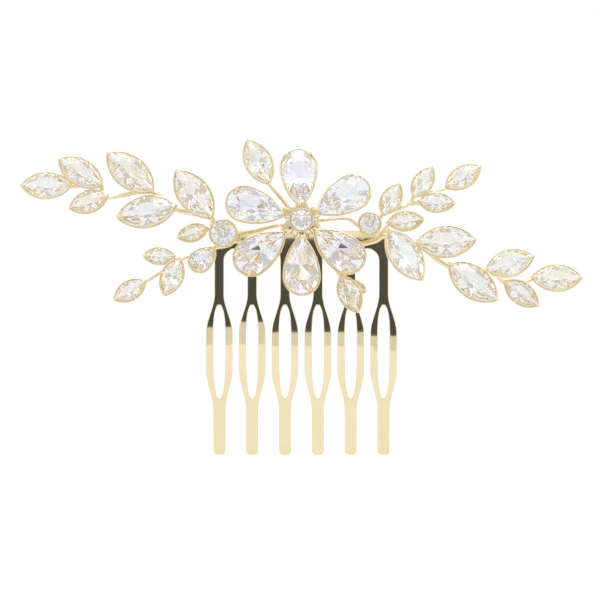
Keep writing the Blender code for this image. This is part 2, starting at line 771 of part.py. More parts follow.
def make_left_bud(gold, crystal, parent):
    behind_plate = -SPRIG_RADIUS
    main = [
        (between_petals(141, FLOWER_PLATE_RADIUS - 3.5 * MM, behind_plate), None),
        (between_petals(133, FLOWER_PLATE_RADIUS + 0.1 * MM, behind_plate), None),
        (between_petals(132, FLOWER_REACH - 7.4 * MM, behind_plate), None),
        (between_petals(132, FLOWER_REACH - 5.6 * MM, behind_plate), Leaf("upper_left_bud_stone", MEDIUM, 115)),
    ]
    make_spray("upper_left_bud_frame", [(SPRIG_RADIUS, main)], gold, crystal, parent)


def make_right_bud(gold, crystal, parent):
    def stone(number):
        return f"lower_right_bud_stone_{number}"

    main = [
        (between_petals(-40.1, FLOWER_PLATE_RADIUS + 1.0 * MM, SPRIG_LIFT), None),
        (between_petals(-45.6, FLOWER_PLATE_RADIUS + 2.6 * MM, SPRIG_LIFT), None),
        (between_petals(-52.3, FLOWER_REACH - 6.1 * MM, SPRIG_LIFT), None),
        (between_petals(-54.6, FLOWER_REACH - 2.9 * MM, 1.4 * MM), None),
        (between_petals(-55.2, FLOWER_REACH - 1.2 * MM, 2.1 * MM), Leaf(stone(1), SMALL, -66)),
    ]
    side = [
        (between_petals(-52.3, FLOWER_REACH - 6.1 * MM, SPRIG_LIFT), None),
        (between_petals(-54.9, FLOWER_REACH - 2.4 * MM, SPRIG_LIFT), None),
        (between_petals(-53.8, FLOWER_REACH + 0.5 * MM, 0.6 * MM), Leaf(stone(2), MITE, -22)),
    ]
    make_spray("lower_right_bud_frame", [(SPRIG_RADIUS, main), (SPRIG_RADIUS, side)], gold, crystal, parent)


def main():
    clear_scene()
    gold = make_material("pale_gold", GOLD_COLOUR, 0.15, 1.0, 0.0)
    crystal = make_material("clear_crystal", CRYSTAL_COLOUR, 0.02, 0.0, 1.0)
    parent = bpy.data.objects.new("hair_comb", None)
    bpy.context.scene.collection.objects.link(parent)
    make_comb(gold, parent)
    make_flower(gold, crystal, parent)
    make_left_side(gold, crystal, parent)
    make_left_sprig(gold, crystal, parent)
    make_right_side(gold, crystal, parent)
    make_right_sprig(gold, crystal, parent)
    make_left_bud(gold, crystal, parent)
    make_right_bud(gold, crystal, parent)


main()
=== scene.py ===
"""Looks of the decorative hair comb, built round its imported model.

The comb stands upright with its teeth down, and -Y is the side that is seen. Lengths are in metres.
Each stone is cut again facet by facet where its solid lies, and each setting is drawn round its stone.
"""

import math
import random

import bmesh
import bpy
from mathutils import Matrix, Vector


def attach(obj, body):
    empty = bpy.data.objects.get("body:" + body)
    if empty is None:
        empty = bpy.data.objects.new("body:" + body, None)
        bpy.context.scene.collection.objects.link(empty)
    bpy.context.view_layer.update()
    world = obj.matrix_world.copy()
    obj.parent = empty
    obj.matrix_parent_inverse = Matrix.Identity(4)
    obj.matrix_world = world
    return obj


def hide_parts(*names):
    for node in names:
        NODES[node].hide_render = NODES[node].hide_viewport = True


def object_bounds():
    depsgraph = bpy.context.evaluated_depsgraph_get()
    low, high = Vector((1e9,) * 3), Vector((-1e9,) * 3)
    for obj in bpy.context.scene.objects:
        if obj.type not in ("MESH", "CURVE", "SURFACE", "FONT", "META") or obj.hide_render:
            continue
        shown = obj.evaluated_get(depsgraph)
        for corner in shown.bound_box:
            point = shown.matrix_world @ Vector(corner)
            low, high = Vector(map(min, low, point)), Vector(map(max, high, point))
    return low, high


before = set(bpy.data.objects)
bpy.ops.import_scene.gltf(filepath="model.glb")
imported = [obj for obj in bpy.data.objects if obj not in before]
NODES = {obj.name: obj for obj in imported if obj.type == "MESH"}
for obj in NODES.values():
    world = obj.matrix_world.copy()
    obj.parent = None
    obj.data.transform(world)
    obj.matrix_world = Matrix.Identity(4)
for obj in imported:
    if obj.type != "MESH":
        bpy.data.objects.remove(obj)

MM = 0.001
CAD_BOX = [list(corner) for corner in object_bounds()]
SCENE = bpy.context.scene
SCENE.view_settings.view_transform = "Standard"

# Comb sheet
TOOTH_COUNT = 6
TOOTH_PITCH = 6.9 * MM
TOOTH_LENGTH = 43.3 * MM
SHEET_THICKNESS = 1.0 * MM
BAR_HEIGHT = 3.8 * MM
NECK_WIDTH = 2.0 * MM
EYE_WIDTH = 5.6 * MM
SLOT_TOP = 11.8 * MM
SLOT_LENGTH = 19.6 * MM
SLOT_WIDTH = 2.5 * MM
SLOT_TOP_BLUNTNESS = 4.0
SLOT_FOOT_BLUNTNESS = 2.6
CROTCH_WALL = 2.4 * MM
SWELL_END = 0.30
DRAW_START = 0.70
PRONG_WIDTH = 2.6 * MM
TIP_RADIUS = 0.9 * MM
TOOTH_SWEEP = 2.2 * MM
SHOULDER_RADIUS = (TOOTH_PITCH - NECK_WIDTH) / 2
BAR_HALF = (TOOTH_COUNT - 1) * TOOTH_PITCH / 2 + NECK_WIDTH / 2
EDGE_ROUND = 0.10 * MM
SLOT_END_LEAN = 0.25
LEAST_LEAN = 0.05
WELD = 0.001 * MM
ROLL_STEPS = (0.0, 0.3, 1.0, 1.3)
ROLL_LIMITS = (0.0, 0.12, 0.40, 0.46)

# Stones
GIRDLE = 0.2 * MM
CROWN_SHARE = 0.17
PAVILION_SHARE = 0.40
TABLE_SHARE = 0.55
STONE_SIDES = 8
OUTLINE_STEPS = 64
UPPER_GIRDLE_STEEPNESS = 1.22
STAR_STEEPNESS = 0.55
STAR_REACH = 0.99
CUT_TOLERANCE = 1e-7
CUT_WELD = 2e-6
CRYSTAL_ROUGHNESS = 0.04
CRYSTAL_IOR = 1.8
# Seed for the random draw of the painted fire tints on the stones' facets
PAINTED_LIGHT_TINT_SEED = 7

# Claw cups
CUP_WALL = 0.45 * MM
CUP_TAPER = 0.80 * MM
STONE_CLEARANCE = 0.12 * MM
SEAT_CLEARANCE = 0.25 * MM
CULET_CLEARANCE = 0.30 * MM
RIM = STONE_CLEARANCE + CUP_WALL
CUP_STEPS = 56
CUP_SOFT = 0.10 * MM
CUP_GROOVE = 0.12 * MM
CUP_RAIL = 0.30
CLAW_GAP = 0.03 * MM
CLAW_REACH = 0.10
CLAW_SIDES = 6
PETAL_CLAW_REACH = 0.055
PETAL_BEAD = 0.30
PETAL_LEAST_WIDTH = 5.0 * MM

# Stems
BRAZE_GAP = 0.3 * MM
STEM_RADIUS = 0.6 * MM
SPRIG_RADIUS = 0.45 * MM
STEM_TAPER = 0.3
STEM_SIDES = 12
NOSE_SHARES = (0.55, 0.85, 0.99)
NOSE_BITE = 0.92
BRAZE_BITE = 0.02 * MM
BRAZE_STEPS = 3
BRAZE_SPREAD = (1.15, 1.02, 0.95, 0.9)
STEM_LAND = 2.2 * MM
STEM_LIFT = BRAZE_GAP + STEM_RADIUS
SPRIG_LIFT = BRAZE_GAP + SPRIG_RADIUS
LEAF_LARGE = 12.0 * MM
PETAL_INNER = 3.0 * MM
PETAL_LENGTH = 12.0 * MM
FLOWER_CENTRE = (0.0, 4.0 * MM)
FLOWER_REACH = PETAL_INNER + PETAL_LENGTH + 2 * RIM
FLOWER_PLATE_RADIUS = 5.0 * MM
PLATE_LOBES = 6
LOBE_DEPTH = 0.34
PLATE_SOFT = 0.25 * MM
PLATE_STEPS = 96
PLATE_BEAD_SIDES = 16
POST_RADIUS = 1.55 * MM
POST_STEPS = 32
CENTRE_RISE = 2.6 * MM
LEFT_ROOT = (-FLOWER_REACH - 0.2 * MM, 1.4 * MM)
RIGHT_ROOT = (FLOWER_REACH - 1.9 * MM, 3.4 * MM)
LAND_END = min(BAR_HALF, FLOWER_REACH + STEM_LAND)


def smooth_step(start, end, value):
    """0 before start, 1 after end, and an even ease between them."""
    share = min(1.0, max(0.0, (value - start) / (end - start)))
    return share * share * (3.0 - 2.0 * share)


# Materials

def new_material(name):
    material = bpy.data.materials.new(name)
    material.use_nodes = True
    return material, material.node_tree.nodes, material.node_tree.links


def plating_group():
    """Tone, gloss and fine surface height of plated metal, shared by the stamped and the cast pieces."""
    tree = bpy.data.node_groups.new("gold_plating", "ShaderNodeTree")
    face = tree.interface
    for name, kind in (("Grain Scale", "NodeSocketVector"), ("Tone Scale", "NodeSocketFloat"),
                       ("Light Tone", "NodeSocketColor"), ("Deep Tone", "NodeSocketColor"),
                       ("Gloss", "NodeSocketFloat"), ("Gloss Spread", "NodeSocketFloat")):
        face.new_socket(name, in_out="INPUT", socket_type=kind)
    for name, kind in (("Colour", "NodeSocketColor"), ("Roughness", "NodeSocketFloat"), ("Height", "NodeSocketFloat")):
        face.new_socket(name, in_out="OUTPUT", socket_type=kind)
    nodes, links = tree.nodes, tree.links
    inputs = nodes.new("NodeGroupInput")
    outputs = nodes.new("NodeGroupOutput")
    place = nodes.new("ShaderNodeTexCoord")

    cloud = nodes.new("ShaderNodeTexNoise")
    cloud.inputs["Detail"].default_value = 3.0
    links.new(place.outputs["Object"], cloud.inputs["Vector"])
    links.new(inputs.outputs["Tone Scale"], cloud.inputs["Scale"])
    spread = nodes.new("ShaderNodeMapRange")
    spread.inputs["From Min"].default_value = 0.35
    spread.inputs["From Max"].default_value = 0.65
    links.new(cloud.outputs["Fac"], spread.inputs["Value"])
    tone = nodes.new("ShaderNodeMix")
    tone.data_type = "RGBA"
    links.new(spread.outputs["Result"], tone.inputs["Factor"])
    links.new(inputs.outputs["Light Tone"], tone.inputs["A"])
    links.new(inputs.outputs["Deep Tone"], tone.inputs["B"])
    links.new(tone.outputs["Result"], outputs.inputs["Colour"])

    stretch = nodes.new("ShaderNodeVectorMath")
    stretch.operation = "MULTIPLY"
    links.new(place.outputs["Object"], stretch.inputs[0])
    links.new(inputs.outputs["Grain Scale"], stretch.inputs[1])
    grain = nodes.new("ShaderNodeTexNoise")
    grain.inputs["Scale"].default_value = 1.0
    grain.inputs["Detail"].default_value = 4.0
    links.new(stretch.outputs["Vector"], grain.inputs["Vector"])
    links.new(grain.outputs["Fac"], outputs.inputs["Height"])
    swing = nodes.new("ShaderNodeMath")
    swing.operation = "MULTIPLY_ADD"
    links.new(grain.outputs["Fac"], swing.inputs[0])
    links.new(inputs.outputs["Gloss Spread"], swing.inputs[1])
    links.new(inputs.outputs["Gloss"], swing.inputs[2])
    links.new(swing.outputs["Value"], outputs.inputs["Roughness"])
    return tree


def gold_material(name, plating, light, deep, grain, tone_scale, gloss, gloss_spread, relief):
    material, nodes, links = new_material(name)
    shader = nodes["Principled BSDF"]
    shader.inputs["Metallic"].default_value = 1.0
    group = nodes.new("ShaderNodeGroup")
    group.node_tree = plating
    group.inputs["Grain Scale"].default_value = grain
    group.inputs["Tone Scale"].default_value = tone_scale
    group.inputs["Light Tone"].default_value = (*light, 1.0)
    group.inputs["Deep Tone"].default_value = (*deep, 1.0)
    group.inputs["Gloss"].default_value = gloss
    group.inputs["Gloss Spread"].default_value = gloss_spread
    links.new(group.outputs["Colour"], shader.inputs["Base Color"])
    links.new(group.outputs["Roughness"], shader.inputs["Roughness"])
    bump = nodes.new("ShaderNodeBump")
    bump.inputs["Strength"].default_value = relief
    bump.inputs["Distance"].default_value = 0.02 * MM
    links.new(group.outputs["Height"], bump.inputs["Height"])
    links.new(bump.outputs["Normal"], shader.inputs["Normal"])
    return material


def crystal_material():
    """Clear cut stone. Its facets carry painted fire: faint tints in the base colour that stand in for the coloured
    light that the cut throws.
    """
    material, nodes, links = new_material("clear_cut_crystal")
    shader = nodes["Principled BSDF"]
    shader.inputs["Roughness"].default_value = CRYSTAL_ROUGHNESS
    shader.inputs["IOR"].default_value = CRYSTAL_IOR
    shader.inputs["Transmission Weight"].default_value = 1.0
    painted_light_tint = nodes.new("ShaderNodeAttribute")
    painted_light_tint.attribute_name = "painted_fire_tint"
    links.new(painted_light_tint.outputs["Color"], shader.inputs["Base Color"])
    return material


PLATING = plating_group()
STAMPED_GOLD = gold_material("stamped_gold", PLATING, (0.91, 0.80, 0.55), (0.88, 0.76, 0.50),
                             (900.0, 900.0, 160.0), 90.0, 0.015, 0.025, 0.03)
CAST_GOLD = gold_material("cast_gold", PLATING, (0.94, 0.85, 0.63), (0.90, 0.77, 0.50),
                          (1500.0, 1500.0, 1500.0), 400.0, 0.08, 0.08, 0.15)
CRYSTAL = crystal_material()
COMB_SHARP_ANGLE = 60
CAST_SHARP_ANGLE = 40


# Turning shapes into pieces

def solid_mesh(name, points, faces):
    mesh = bpy.data.meshes.new(name)
    mesh.from_pydata([tuple(point) for point in points], [], faces)
    return mesh


def put_together(name, meshes, material, nodes, sharp_angle):
    """One piece from closed shells, in place of the CAD nodes named."""
    work = bmesh.new()
    for mesh in meshes:
        work.from_mesh(mesh)
        bpy.data.meshes.remove(mesh)
    bmesh.ops.recalc_face_normals(work, faces=work.faces)
    mesh = bpy.data.meshes.new(name)
    work.to_mesh(mesh)
    work.free()
    mesh.materials.clear()
    mesh.materials.append(material)
    if sharp_angle is not None:
        mesh.shade_smooth()
        mesh.set_sharp_from_angle(angle=math.radians(sharp_angle))
    piece = bpy.data.objects.new(name, mesh)
    SCENE.collection.objects.link(piece)
    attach(piece, "root")
    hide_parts(*nodes)
    return piece


def evaluated_mesh(obj):
    """The plain mesh that an object's modifiers make; the object itself is removed."""
    bpy.context.view_layer.update()
    depsgraph = bpy.context.evaluated_depsgraph_get()
    mesh = bpy.data.meshes.new_from_object(obj.evaluated_get(depsgraph))
    old = obj.data
    bpy.data.objects.remove(obj)
    bpy.data.meshes.remove(old)
    return mesh


def bridge(faces, lower, upper):
    """Quads between two closed rings of the same length."""
    for index in range(len(lower)):
        after = (index + 1) % len(lower)
        faces.append((lower[index], lower[after], upper[after], upper[index]))


# Wire: stems, claws and beads of braze follow paths

class Tree:
    """A geometry node tree with named inputs."""

    def __init__(self, name):
        self.tree = bpy.data.node_groups.new(name, "GeometryNodeTree")
        self.sockets = {}
        self.tree.interface.new_socket("Geometry", in_out="INPUT", socket_type="NodeSocketGeometry")
        self.tree.interface.new_socket("Geometry", in_out="OUTPUT", socket_type="NodeSocketGeometry")

    def value(self, name, kind):
        socket = self.tree.interface.new_socket(name, in_out="INPUT", socket_type=kind)
        self.sockets[name] = socket.identifier

    def node(self, kind, **settings):
        node = self.tree.nodes.new(kind)
        for key, setting in settings.items():
            setattr(node, key, setting)
        return node

    def link(self, start, end):
        self.tree.links.new(start, end)

    def run(self, mesh, values):
        """Runs the tree on a mesh and returns the plain mesh that comes out."""
        obj = bpy.data.objects.new(self.tree.name, mesh)
        SCENE.collection.objects.link(obj)
        modifier = obj.modifiers.new(self.tree.name, "NODES")
        modifier.node_group = self.tree
        for name, value in values.items():
            modifier[self.sockets[name]] = value
        return evaluated_mesh(obj)


def wire_tree():
    """Draws a round wire along every path, as thick as the path says at each point."""
    tree = Tree("drawn_wire")
    tree.value("Wire Sides", "NodeSocketInt")
    tree.value("Metal", "NodeSocketMaterial")
    given = tree.node("NodeGroupInput")
    result = tree.node("NodeGroupOutput")
    path = tree.node("GeometryNodeMeshToCurve")
    ring = tree.node("GeometryNodeCurvePrimitiveCircle")
    ring.inputs["Radius"].default_value = 1.0
    radius = tree.node("GeometryNodeInputNamedAttribute", data_type="FLOAT")
    radius.inputs["Name"].default_value = "wire_radius"
    draw = tree.node("GeometryNodeCurveToMesh")
    draw.inputs["Fill Caps"].default_value = True
    whole = tree.node("GeometryNodeRealizeInstances")
    paint = tree.node("GeometryNodeSetMaterial")
    tree.link(given.outputs["Geometry"], path.inputs["Mesh"])
    tree.link(given.outputs["Wire Sides"], ring.inputs["Resolution"])
    tree.link(path.outputs["Curve"], draw.inputs["Curve"])
    tree.link(ring.outputs["Curve"], draw.inputs["Profile Curve"])
    tree.link(radius.outputs["Attribute"], draw.inputs["Scale"])
    tree.link(draw.outputs["Mesh"], whole.inputs["Geometry"])
    tree.link(whole.outputs["Geometry"], paint.inputs["Geometry"])
    tree.link(given.outputs["Metal"], paint.inputs["Material"])
    tree.link(paint.outputs["Geometry"], result.inputs["Geometry"])
    return tree


WIRE = wire_tree()


def rounded_ends(path, radii):
    """Adds a round nose to both ends of a path."""
    path, radii = list(path), list(radii)
    for at_end in (False, True):
        tip = path[-1] if at_end else path[0]
        inner = path[-2] if at_end else path[1]
        radius = radii[-1] if at_end else radii[0]
        out = (tip - inner).normalized()
        for share in NOSE_SHARES:
            point = tip + out * radius * share
            size = radius * math.sqrt(1.0 - share * share)
            if at_end:
                path.append(point)
                radii.append(size)
            else:
                path.insert(0, point)
                radii.insert(0, size)
    return path, radii


def draw_wires(wires, sides):
    """A mesh of round wires. A wire is a path and its radius at each point."""
    points, edges, sizes = [], [], []
    for path, radii in wires:
        first = len(points)
        points.extend(tuple(point) for point in path)
        sizes.extend(radii)
        edges.extend((first + step, first + step + 1) for step in range(len(path) - 1))
    mesh = bpy.data.meshes.new("paths")
    mesh.from_pydata(points, edges, [])
    attribute = mesh.attributes.new("wire_radius", "FLOAT", "POINT")
    attribute.data.foreach_set("value", sizes)
    return WIRE.run(mesh, {"Wire Sides": sides, "Metal": CAST_GOLD})


def smooth_path(points, steps):
    """Points along an even curve through the given ones."""
    path = []
    last = len(points) - 1
    for index in range(last):
        before = points[max(index - 1, 0)]
        start = points[index]
        end = points[index + 1]
        beyond = points[min(index + 2, last)]
        for step in range(steps):
            t = step / steps
            path.append(0.5 * (2 * start + (end - before) * t
                               + (2 * before - 5 * start + 4 * end - beyond) * t * t
                               + (3 * start - before - 3 * end + beyond) * t ** 3))
    path.append(points[last])
    return path


# Stones

class Cut:
    """The outline of a stone at its girdle. A pear's point and a leaf's foot lie at 180 degrees."""

    def __init__(self, shape, length, width):
        self.shape = shape
        self.length = length
        self.width = width

    def grown(self, by):
        return Cut(self.shape, self.length + 2 * by, self.width + 2 * by)

    def bow(self, reach, along):
        radius = (reach * reach + self.width * self.width / 4) / self.width
        return math.sqrt(max(0.0, radius * radius - along * along)) - (radius - self.width / 2)

    def point(self, degrees):
        turn = math.radians(degrees)
        side = 1.0 if math.sin(turn) >= 0 else -1.0
        if self.shape == "round":
            return Vector((self.length / 2 * math.cos(turn), self.width / 2 * math.sin(turn)))
        if self.shape == "marquise":
            x = self.length / 2 * math.cos(turn)
            return Vector((x, side * self.bow(self.length / 2, x)))
        middle = (self.length - self.width) / 2
        if math.cos(turn) >= 0:
            return Vector((middle + self.width / 2 * math.cos(turn), self.width / 2 * math.sin(turn)))
        reach = self.length / 2 + middle
        x = reach * math.cos(turn)
        return Vector((middle + x, side * self.bow(reach, x)))

    def outward(self, degrees):
        """The direction straight out of the outline."""
        step = self.point(degrees + 2.0) - self.point(degrees - 2.0)
        return Vector((step.y, -step.x)).normalized()

    @property
    def crown(self):
        return GIRDLE / 2 + CROWN_SHARE * self.width

    @property
    def pavilion(self):
        return GIRDLE / 2 + PAVILION_SHARE * self.width

    @property
    def cup_depth(self):
        return self.pavilion + CULET_CLEARANCE

    def crown_slope(self, degrees):
        """Rise of the main crown facet at this station for each step inwards."""
        span = self.outward(degrees).dot(self.point(degrees)) * (1.0 - TABLE_SHARE)
        return (self.crown - GIRDLE / 2) / span


def read_stone(name):
    """The cut of a CAD stone and its place, read from its mesh."""
    mesh = NODES[name].data
    facets = {}
    for face in mesh.polygons:
        key = tuple(round(part, 2) for part in face.normal)
        facets[key] = facets.get(key, Vector()) + face.normal * face.area
    table = max((facet for key, facet in facets.items() if key[1] < -0.7), key=lambda facet: facet.length)
    normal = table.normalized()
    points = [vertex.co.copy() for vertex in mesh.vertices]
    flat = [point - normal * normal.dot(point) for point in points]
    start = max(flat, key=lambda point: (point - flat[0]).length)
    end = max(flat, key=lambda point: (point - start).length)
    along = (end - start).normalized()
    across = normal.cross(along)
    spans = [point.dot(along) for point in points]
    sides = [point.dot(across) for point in points]
    length = max(spans) - min(spans)
    width = max(sides) - min(sides)
    middle = (max(spans) + min(spans)) / 2
    axis = (max(sides) + min(sides)) / 2
    near = max(abs(side - axis) for side, span in zip(sides, spans) if span < middle - length * 0.2)
    far = max(abs(side - axis) for side, span in zip(sides, spans) if span > middle + length * 0.2)
    if width > 0.95 * length:
        along = (Vector((1.0, 0.0, 0.0)) - normal * normal.x).normalized()
        across = normal.cross(along)
        middle = sum((point.dot(along) for point in points)) / len(points)
        axis = sum((point.dot(across) for point in points)) / len(points)
        cut = Cut("round", length, length)
    elif abs(near - far) < 0.05 * width:
        cut = Cut("marquise", length, width)
    else:
        cut = Cut("pear", length, width)
        if near > far:
            along, across = -along, -across
            middle, axis = -middle, -axis
    top = max(point.dot(normal) for point in points)
    centre = along * middle + across * axis + normal * (top - cut.crown)
    axes = Matrix((along, across, normal)).transposed()
    return cut, Matrix.Translation(centre) @ axes.to_4x4()


def facet_planes(cut):
    """Each facet as (normal, distance): the half-space that it leaves."""
    planes = []
    half = GIRDLE / 2
    for step in range(STONE_SIDES):
        angle = 360.0 / STONE_SIDES * step
        out, point = cut.outward(angle), cut.point(angle)
        span = out.dot(point)
        rise = cut.crown_slope(angle)
        planes.append((Vector((out.x * rise, out.y * rise, 1.0)), rise * span + half))
        fall = (cut.pavilion - half) / span
        planes.append((Vector((out.x * fall, out.y * fall, -1.0)), fall * span + half))
    for step in range(2 * STONE_SIDES):
        angle = 360.0 / (2 * STONE_SIDES) * (step + 0.5)
        out, point = cut.outward(angle), cut.point(angle)
        span = out.dot(point)
        rise = cut.crown_slope(angle) * UPPER_GIRDLE_STEEPNESS
        planes.append((Vector((out.x * rise, out.y * rise, 1.0)), rise * span + half))
    for step in range(STONE_SIDES):
        angle = 360.0 / STONE_SIDES * (step + 0.5)
        out, point = cut.outward(angle), cut.point(angle)
        slope = cut.crown_slope(angle) * STAR_STEEPNESS
        edge = TABLE_SHARE * out.dot(point) * STAR_REACH
        planes.append((Vector((out.x * slope, out.y * slope, 1.0)), slope * edge + cut.crown))
    return planes


def cut_stone(cut):
    """A stone ground from its outline, one flat facet after another."""
    work = bmesh.new()
    ring = [cut.point(360.0 * step / OUTLINE_STEPS) for step in range(OUTLINE_STEPS)]
    low = [work.verts.new((point.x, point.y, -1.2 * cut.pavilion)) for point in ring]
    high = [work.verts.new((point.x, point.y, cut.crown)) for point in ring]
    work.faces.new(reversed(low))
    work.faces.new(high)
    bridge_faces = []
    bridge(bridge_faces, low, high)
    for face in bridge_faces:
        work.faces.new(face)
    for normal, distance in facet_planes(cut):
        size = normal.length
        geometry = work.verts[:] + work.edges[:] + work.faces[:]
        result = bmesh.ops.bisect_plane(work, geom=geometry, dist=CUT_TOLERANCE, clear_outer=True,
                                        plane_co=normal * (distance / size / size), plane_no=normal / size)
        edges = [item for item in result["geom_cut"] if isinstance(item, bmesh.types.BMEdge) and item.is_boundary]
        if len(edges) > 2:
            bmesh.ops.contextual_create(work, geom=edges)
    bmesh.ops.remove_doubles(work, verts=work.verts, dist=CUT_WELD)
    mesh = bpy.data.meshes.new("stone")
    work.to_mesh(mesh)
    work.free()
    return mesh


# Painted fire: pale pastel facet tints that stand in for dispersed light in the clear stones. The leaf stones'
# yellower tints are also a painted reflection of the gold round them.
PETAL_PAINTED_FIRE = ((0.95, 0.95, 0.98), (0.89, 0.885, 0.985), (0.97, 0.955, 0.90),
               (0.87, 0.93, 0.985), (0.975, 0.975, 0.985), (0.94, 0.885, 0.975))
LEAF_PAINTED_FIRE_AND_GOLD_REFLECTION = ((0.96, 0.955, 0.94), (0.92, 0.88, 0.95), (0.97, 0.94, 0.80),
              (0.88, 0.945, 0.91), (0.90, 0.94, 0.97), (0.98, 0.92, 0.88))


def make_stone(name, draw):
    cut, place = read_stone(name)
    mesh = cut_stone(cut)
    mesh.transform(place)
    piece = put_together(name.replace("stone", "cut_stone"), [mesh], CRYSTAL, [name], None)
    # Each facet takes one painted tint at random: painted fire, and in the leaf stones also painted gold reflection.
    painted_light_tints = LEAF_PAINTED_FIRE_AND_GOLD_REFLECTION if cut.shape == "marquise" else PETAL_PAINTED_FIRE
    painted_light_tint = piece.data.attributes.new("painted_fire_tint", "FLOAT_COLOR", "CORNER")
    for face in piece.data.polygons:
        colour = (*draw.choice(painted_light_tints), 1.0)
        for corner in face.loop_indices:
            painted_light_tint.data[corner].color = colour
    return cut, place


# Claw cups

def cup_mesh(cut, place):
    """A grooved cup wall round the stone, below its girdle, with softened edges."""
    rim = -GIRDLE / 2 - SEAT_CLEARANCE
    floor = -cut.cup_depth
    wall = rim - floor

    def at(growth, height):
        return growth - CUP_TAPER * (rim - height) / wall, height

    soft, groove, rail = CUP_SOFT, CUP_GROOVE, CUP_RAIL * wall
    profile = (
        at(STONE_CLEARANCE + soft, floor),
        at(STONE_CLEARANCE, floor + soft),
        at(STONE_CLEARANCE, rim - soft),
        at(STONE_CLEARANCE + soft, rim),
        at(RIM - soft, rim),
        at(RIM - 0.3 * soft, rim - 0.3 * soft),
        at(RIM, rim - soft),
        at(RIM, rim - rail),
        at(RIM - groove, rim - rail - groove),
        at(RIM - groove, floor + rail + groove),
        at(RIM, floor + rail),
        at(RIM, floor + soft),
        at(RIM - soft, floor),
    )
    points, rings, faces = [], [], []
    for growth, height in profile:
        outline = cut.grown(growth)
        rings.append(range(len(points), len(points) + CUP_STEPS))
        for step in range(CUP_STEPS):
            flat = outline.point(360.0 * step / CUP_STEPS)
            points.append(place @ Vector((flat.x, flat.y, height)))
    for lower, upper in zip(rings, rings[1:] + rings[:1]):
        bridge(faces, lower, upper)
    return solid_mesh("cup", points, faces)


def claw_angles(cut):
    if cut.shape == "marquise":
        return (0.0, 90.0, 180.0, 270.0)
    if cut.shape == "pear":
        return (45.0, 118.0, 180.0, 242.0, 315.0)
    return (45.0, 135.0, 225.0, 315.0)


def claw_wires(cut, place):
    """Claws that run up the wall and bend over the crown, each with a round bead at its end."""
    wires = []
    radius = min(0.28 * MM, 0.165 * MM + 0.0185 * cut.width)
    swell, reach = 0.0, CLAW_REACH * cut.width
    if cut.shape == "pear" and cut.width > PETAL_LEAST_WIDTH:
        swell, reach = PETAL_BEAD, PETAL_CLAW_REACH * cut.width
    for angle in claw_angles(cut):
        out, point = cut.outward(angle), cut.point(angle)
        slope = cut.crown_slope(angle)
        lean = math.atan(slope)
        wall_out = RIM - radius - 0.02 * MM
        depth = 0.55 * cut.cup_depth
        profile = [
            (wall_out - 0.4 * CUP_TAPER, -depth),
            (wall_out, -GIRDLE / 2 - SEAT_CLEARANCE),
            (wall_out, 0.0),
        ]
        for share in (0.25, 0.6, 1.0):
            inward = reach * share
            off = radius * (1.0 + swell * share) + CLAW_GAP
            profile.append((-inward + off * math.sin(lean), GIRDLE / 2 + slope * inward + off * math.cos(lean)))
        path = [Vector((point.x + out.x * far, point.y + out.y * far, height)) for far, height in profile]
        path = smooth_path(path, 2)
        radii = [radius * (1.0 + swell * max(0.0, step / (len(path) - 1) - 0.5) * 2) for step in range(len(path))]
        path, radii = rounded_ends(path, radii)
        wires.append(([place @ spot for spot in path], radii))
    return wires


# Stems

def face_point(x, z, lift):
    """A point in front of the comb's face."""
    return Vector((x, -SHEET_THICKNESS - lift, z))


def bar_foot(side, inset, height, lift):
    return face_point(side * (LAND_END - inset), height, lift)


def sprout(root, out, up, lift):
    """A point of a spray, measured from its root in lengths of a large leaf."""
    return face_point(root[0] + out * LEAF_LARGE, root[1] + up * LEAF_LARGE, lift)


def between_petals(angle, reach, lift):
    turn = math.radians(angle)
    return face_point(FLOWER_CENTRE[0] + reach * math.cos(turn), FLOWER_CENTRE[1] + reach * math.sin(turn), lift)


def stem_wire(points, radius):
    path = smooth_path(points, 8)
    last = len(path) - 1
    radii = [radius * (1 - STEM_TAPER * index / last) for index in range(len(path))]
    return rounded_ends(path, radii)


def lobed(radius, turn, lobes, depth):
    """The radius of a turned piece in this direction, drawn in between its lobes."""
    return radius * (1.0 - depth * (1.0 + math.cos(lobes * turn)) / 2)


def tie_end(angle, lift):
    """Where a tie's round nose just meets the edge of the flower plate."""
    nose = NOSE_BITE * SPRIG_RADIUS * (1 - STEM_TAPER)
    return between_petals(angle, lobed(FLOWER_PLATE_RADIUS, math.radians(angle), PLATE_LOBES, LOBE_DEPTH) + nose, lift)


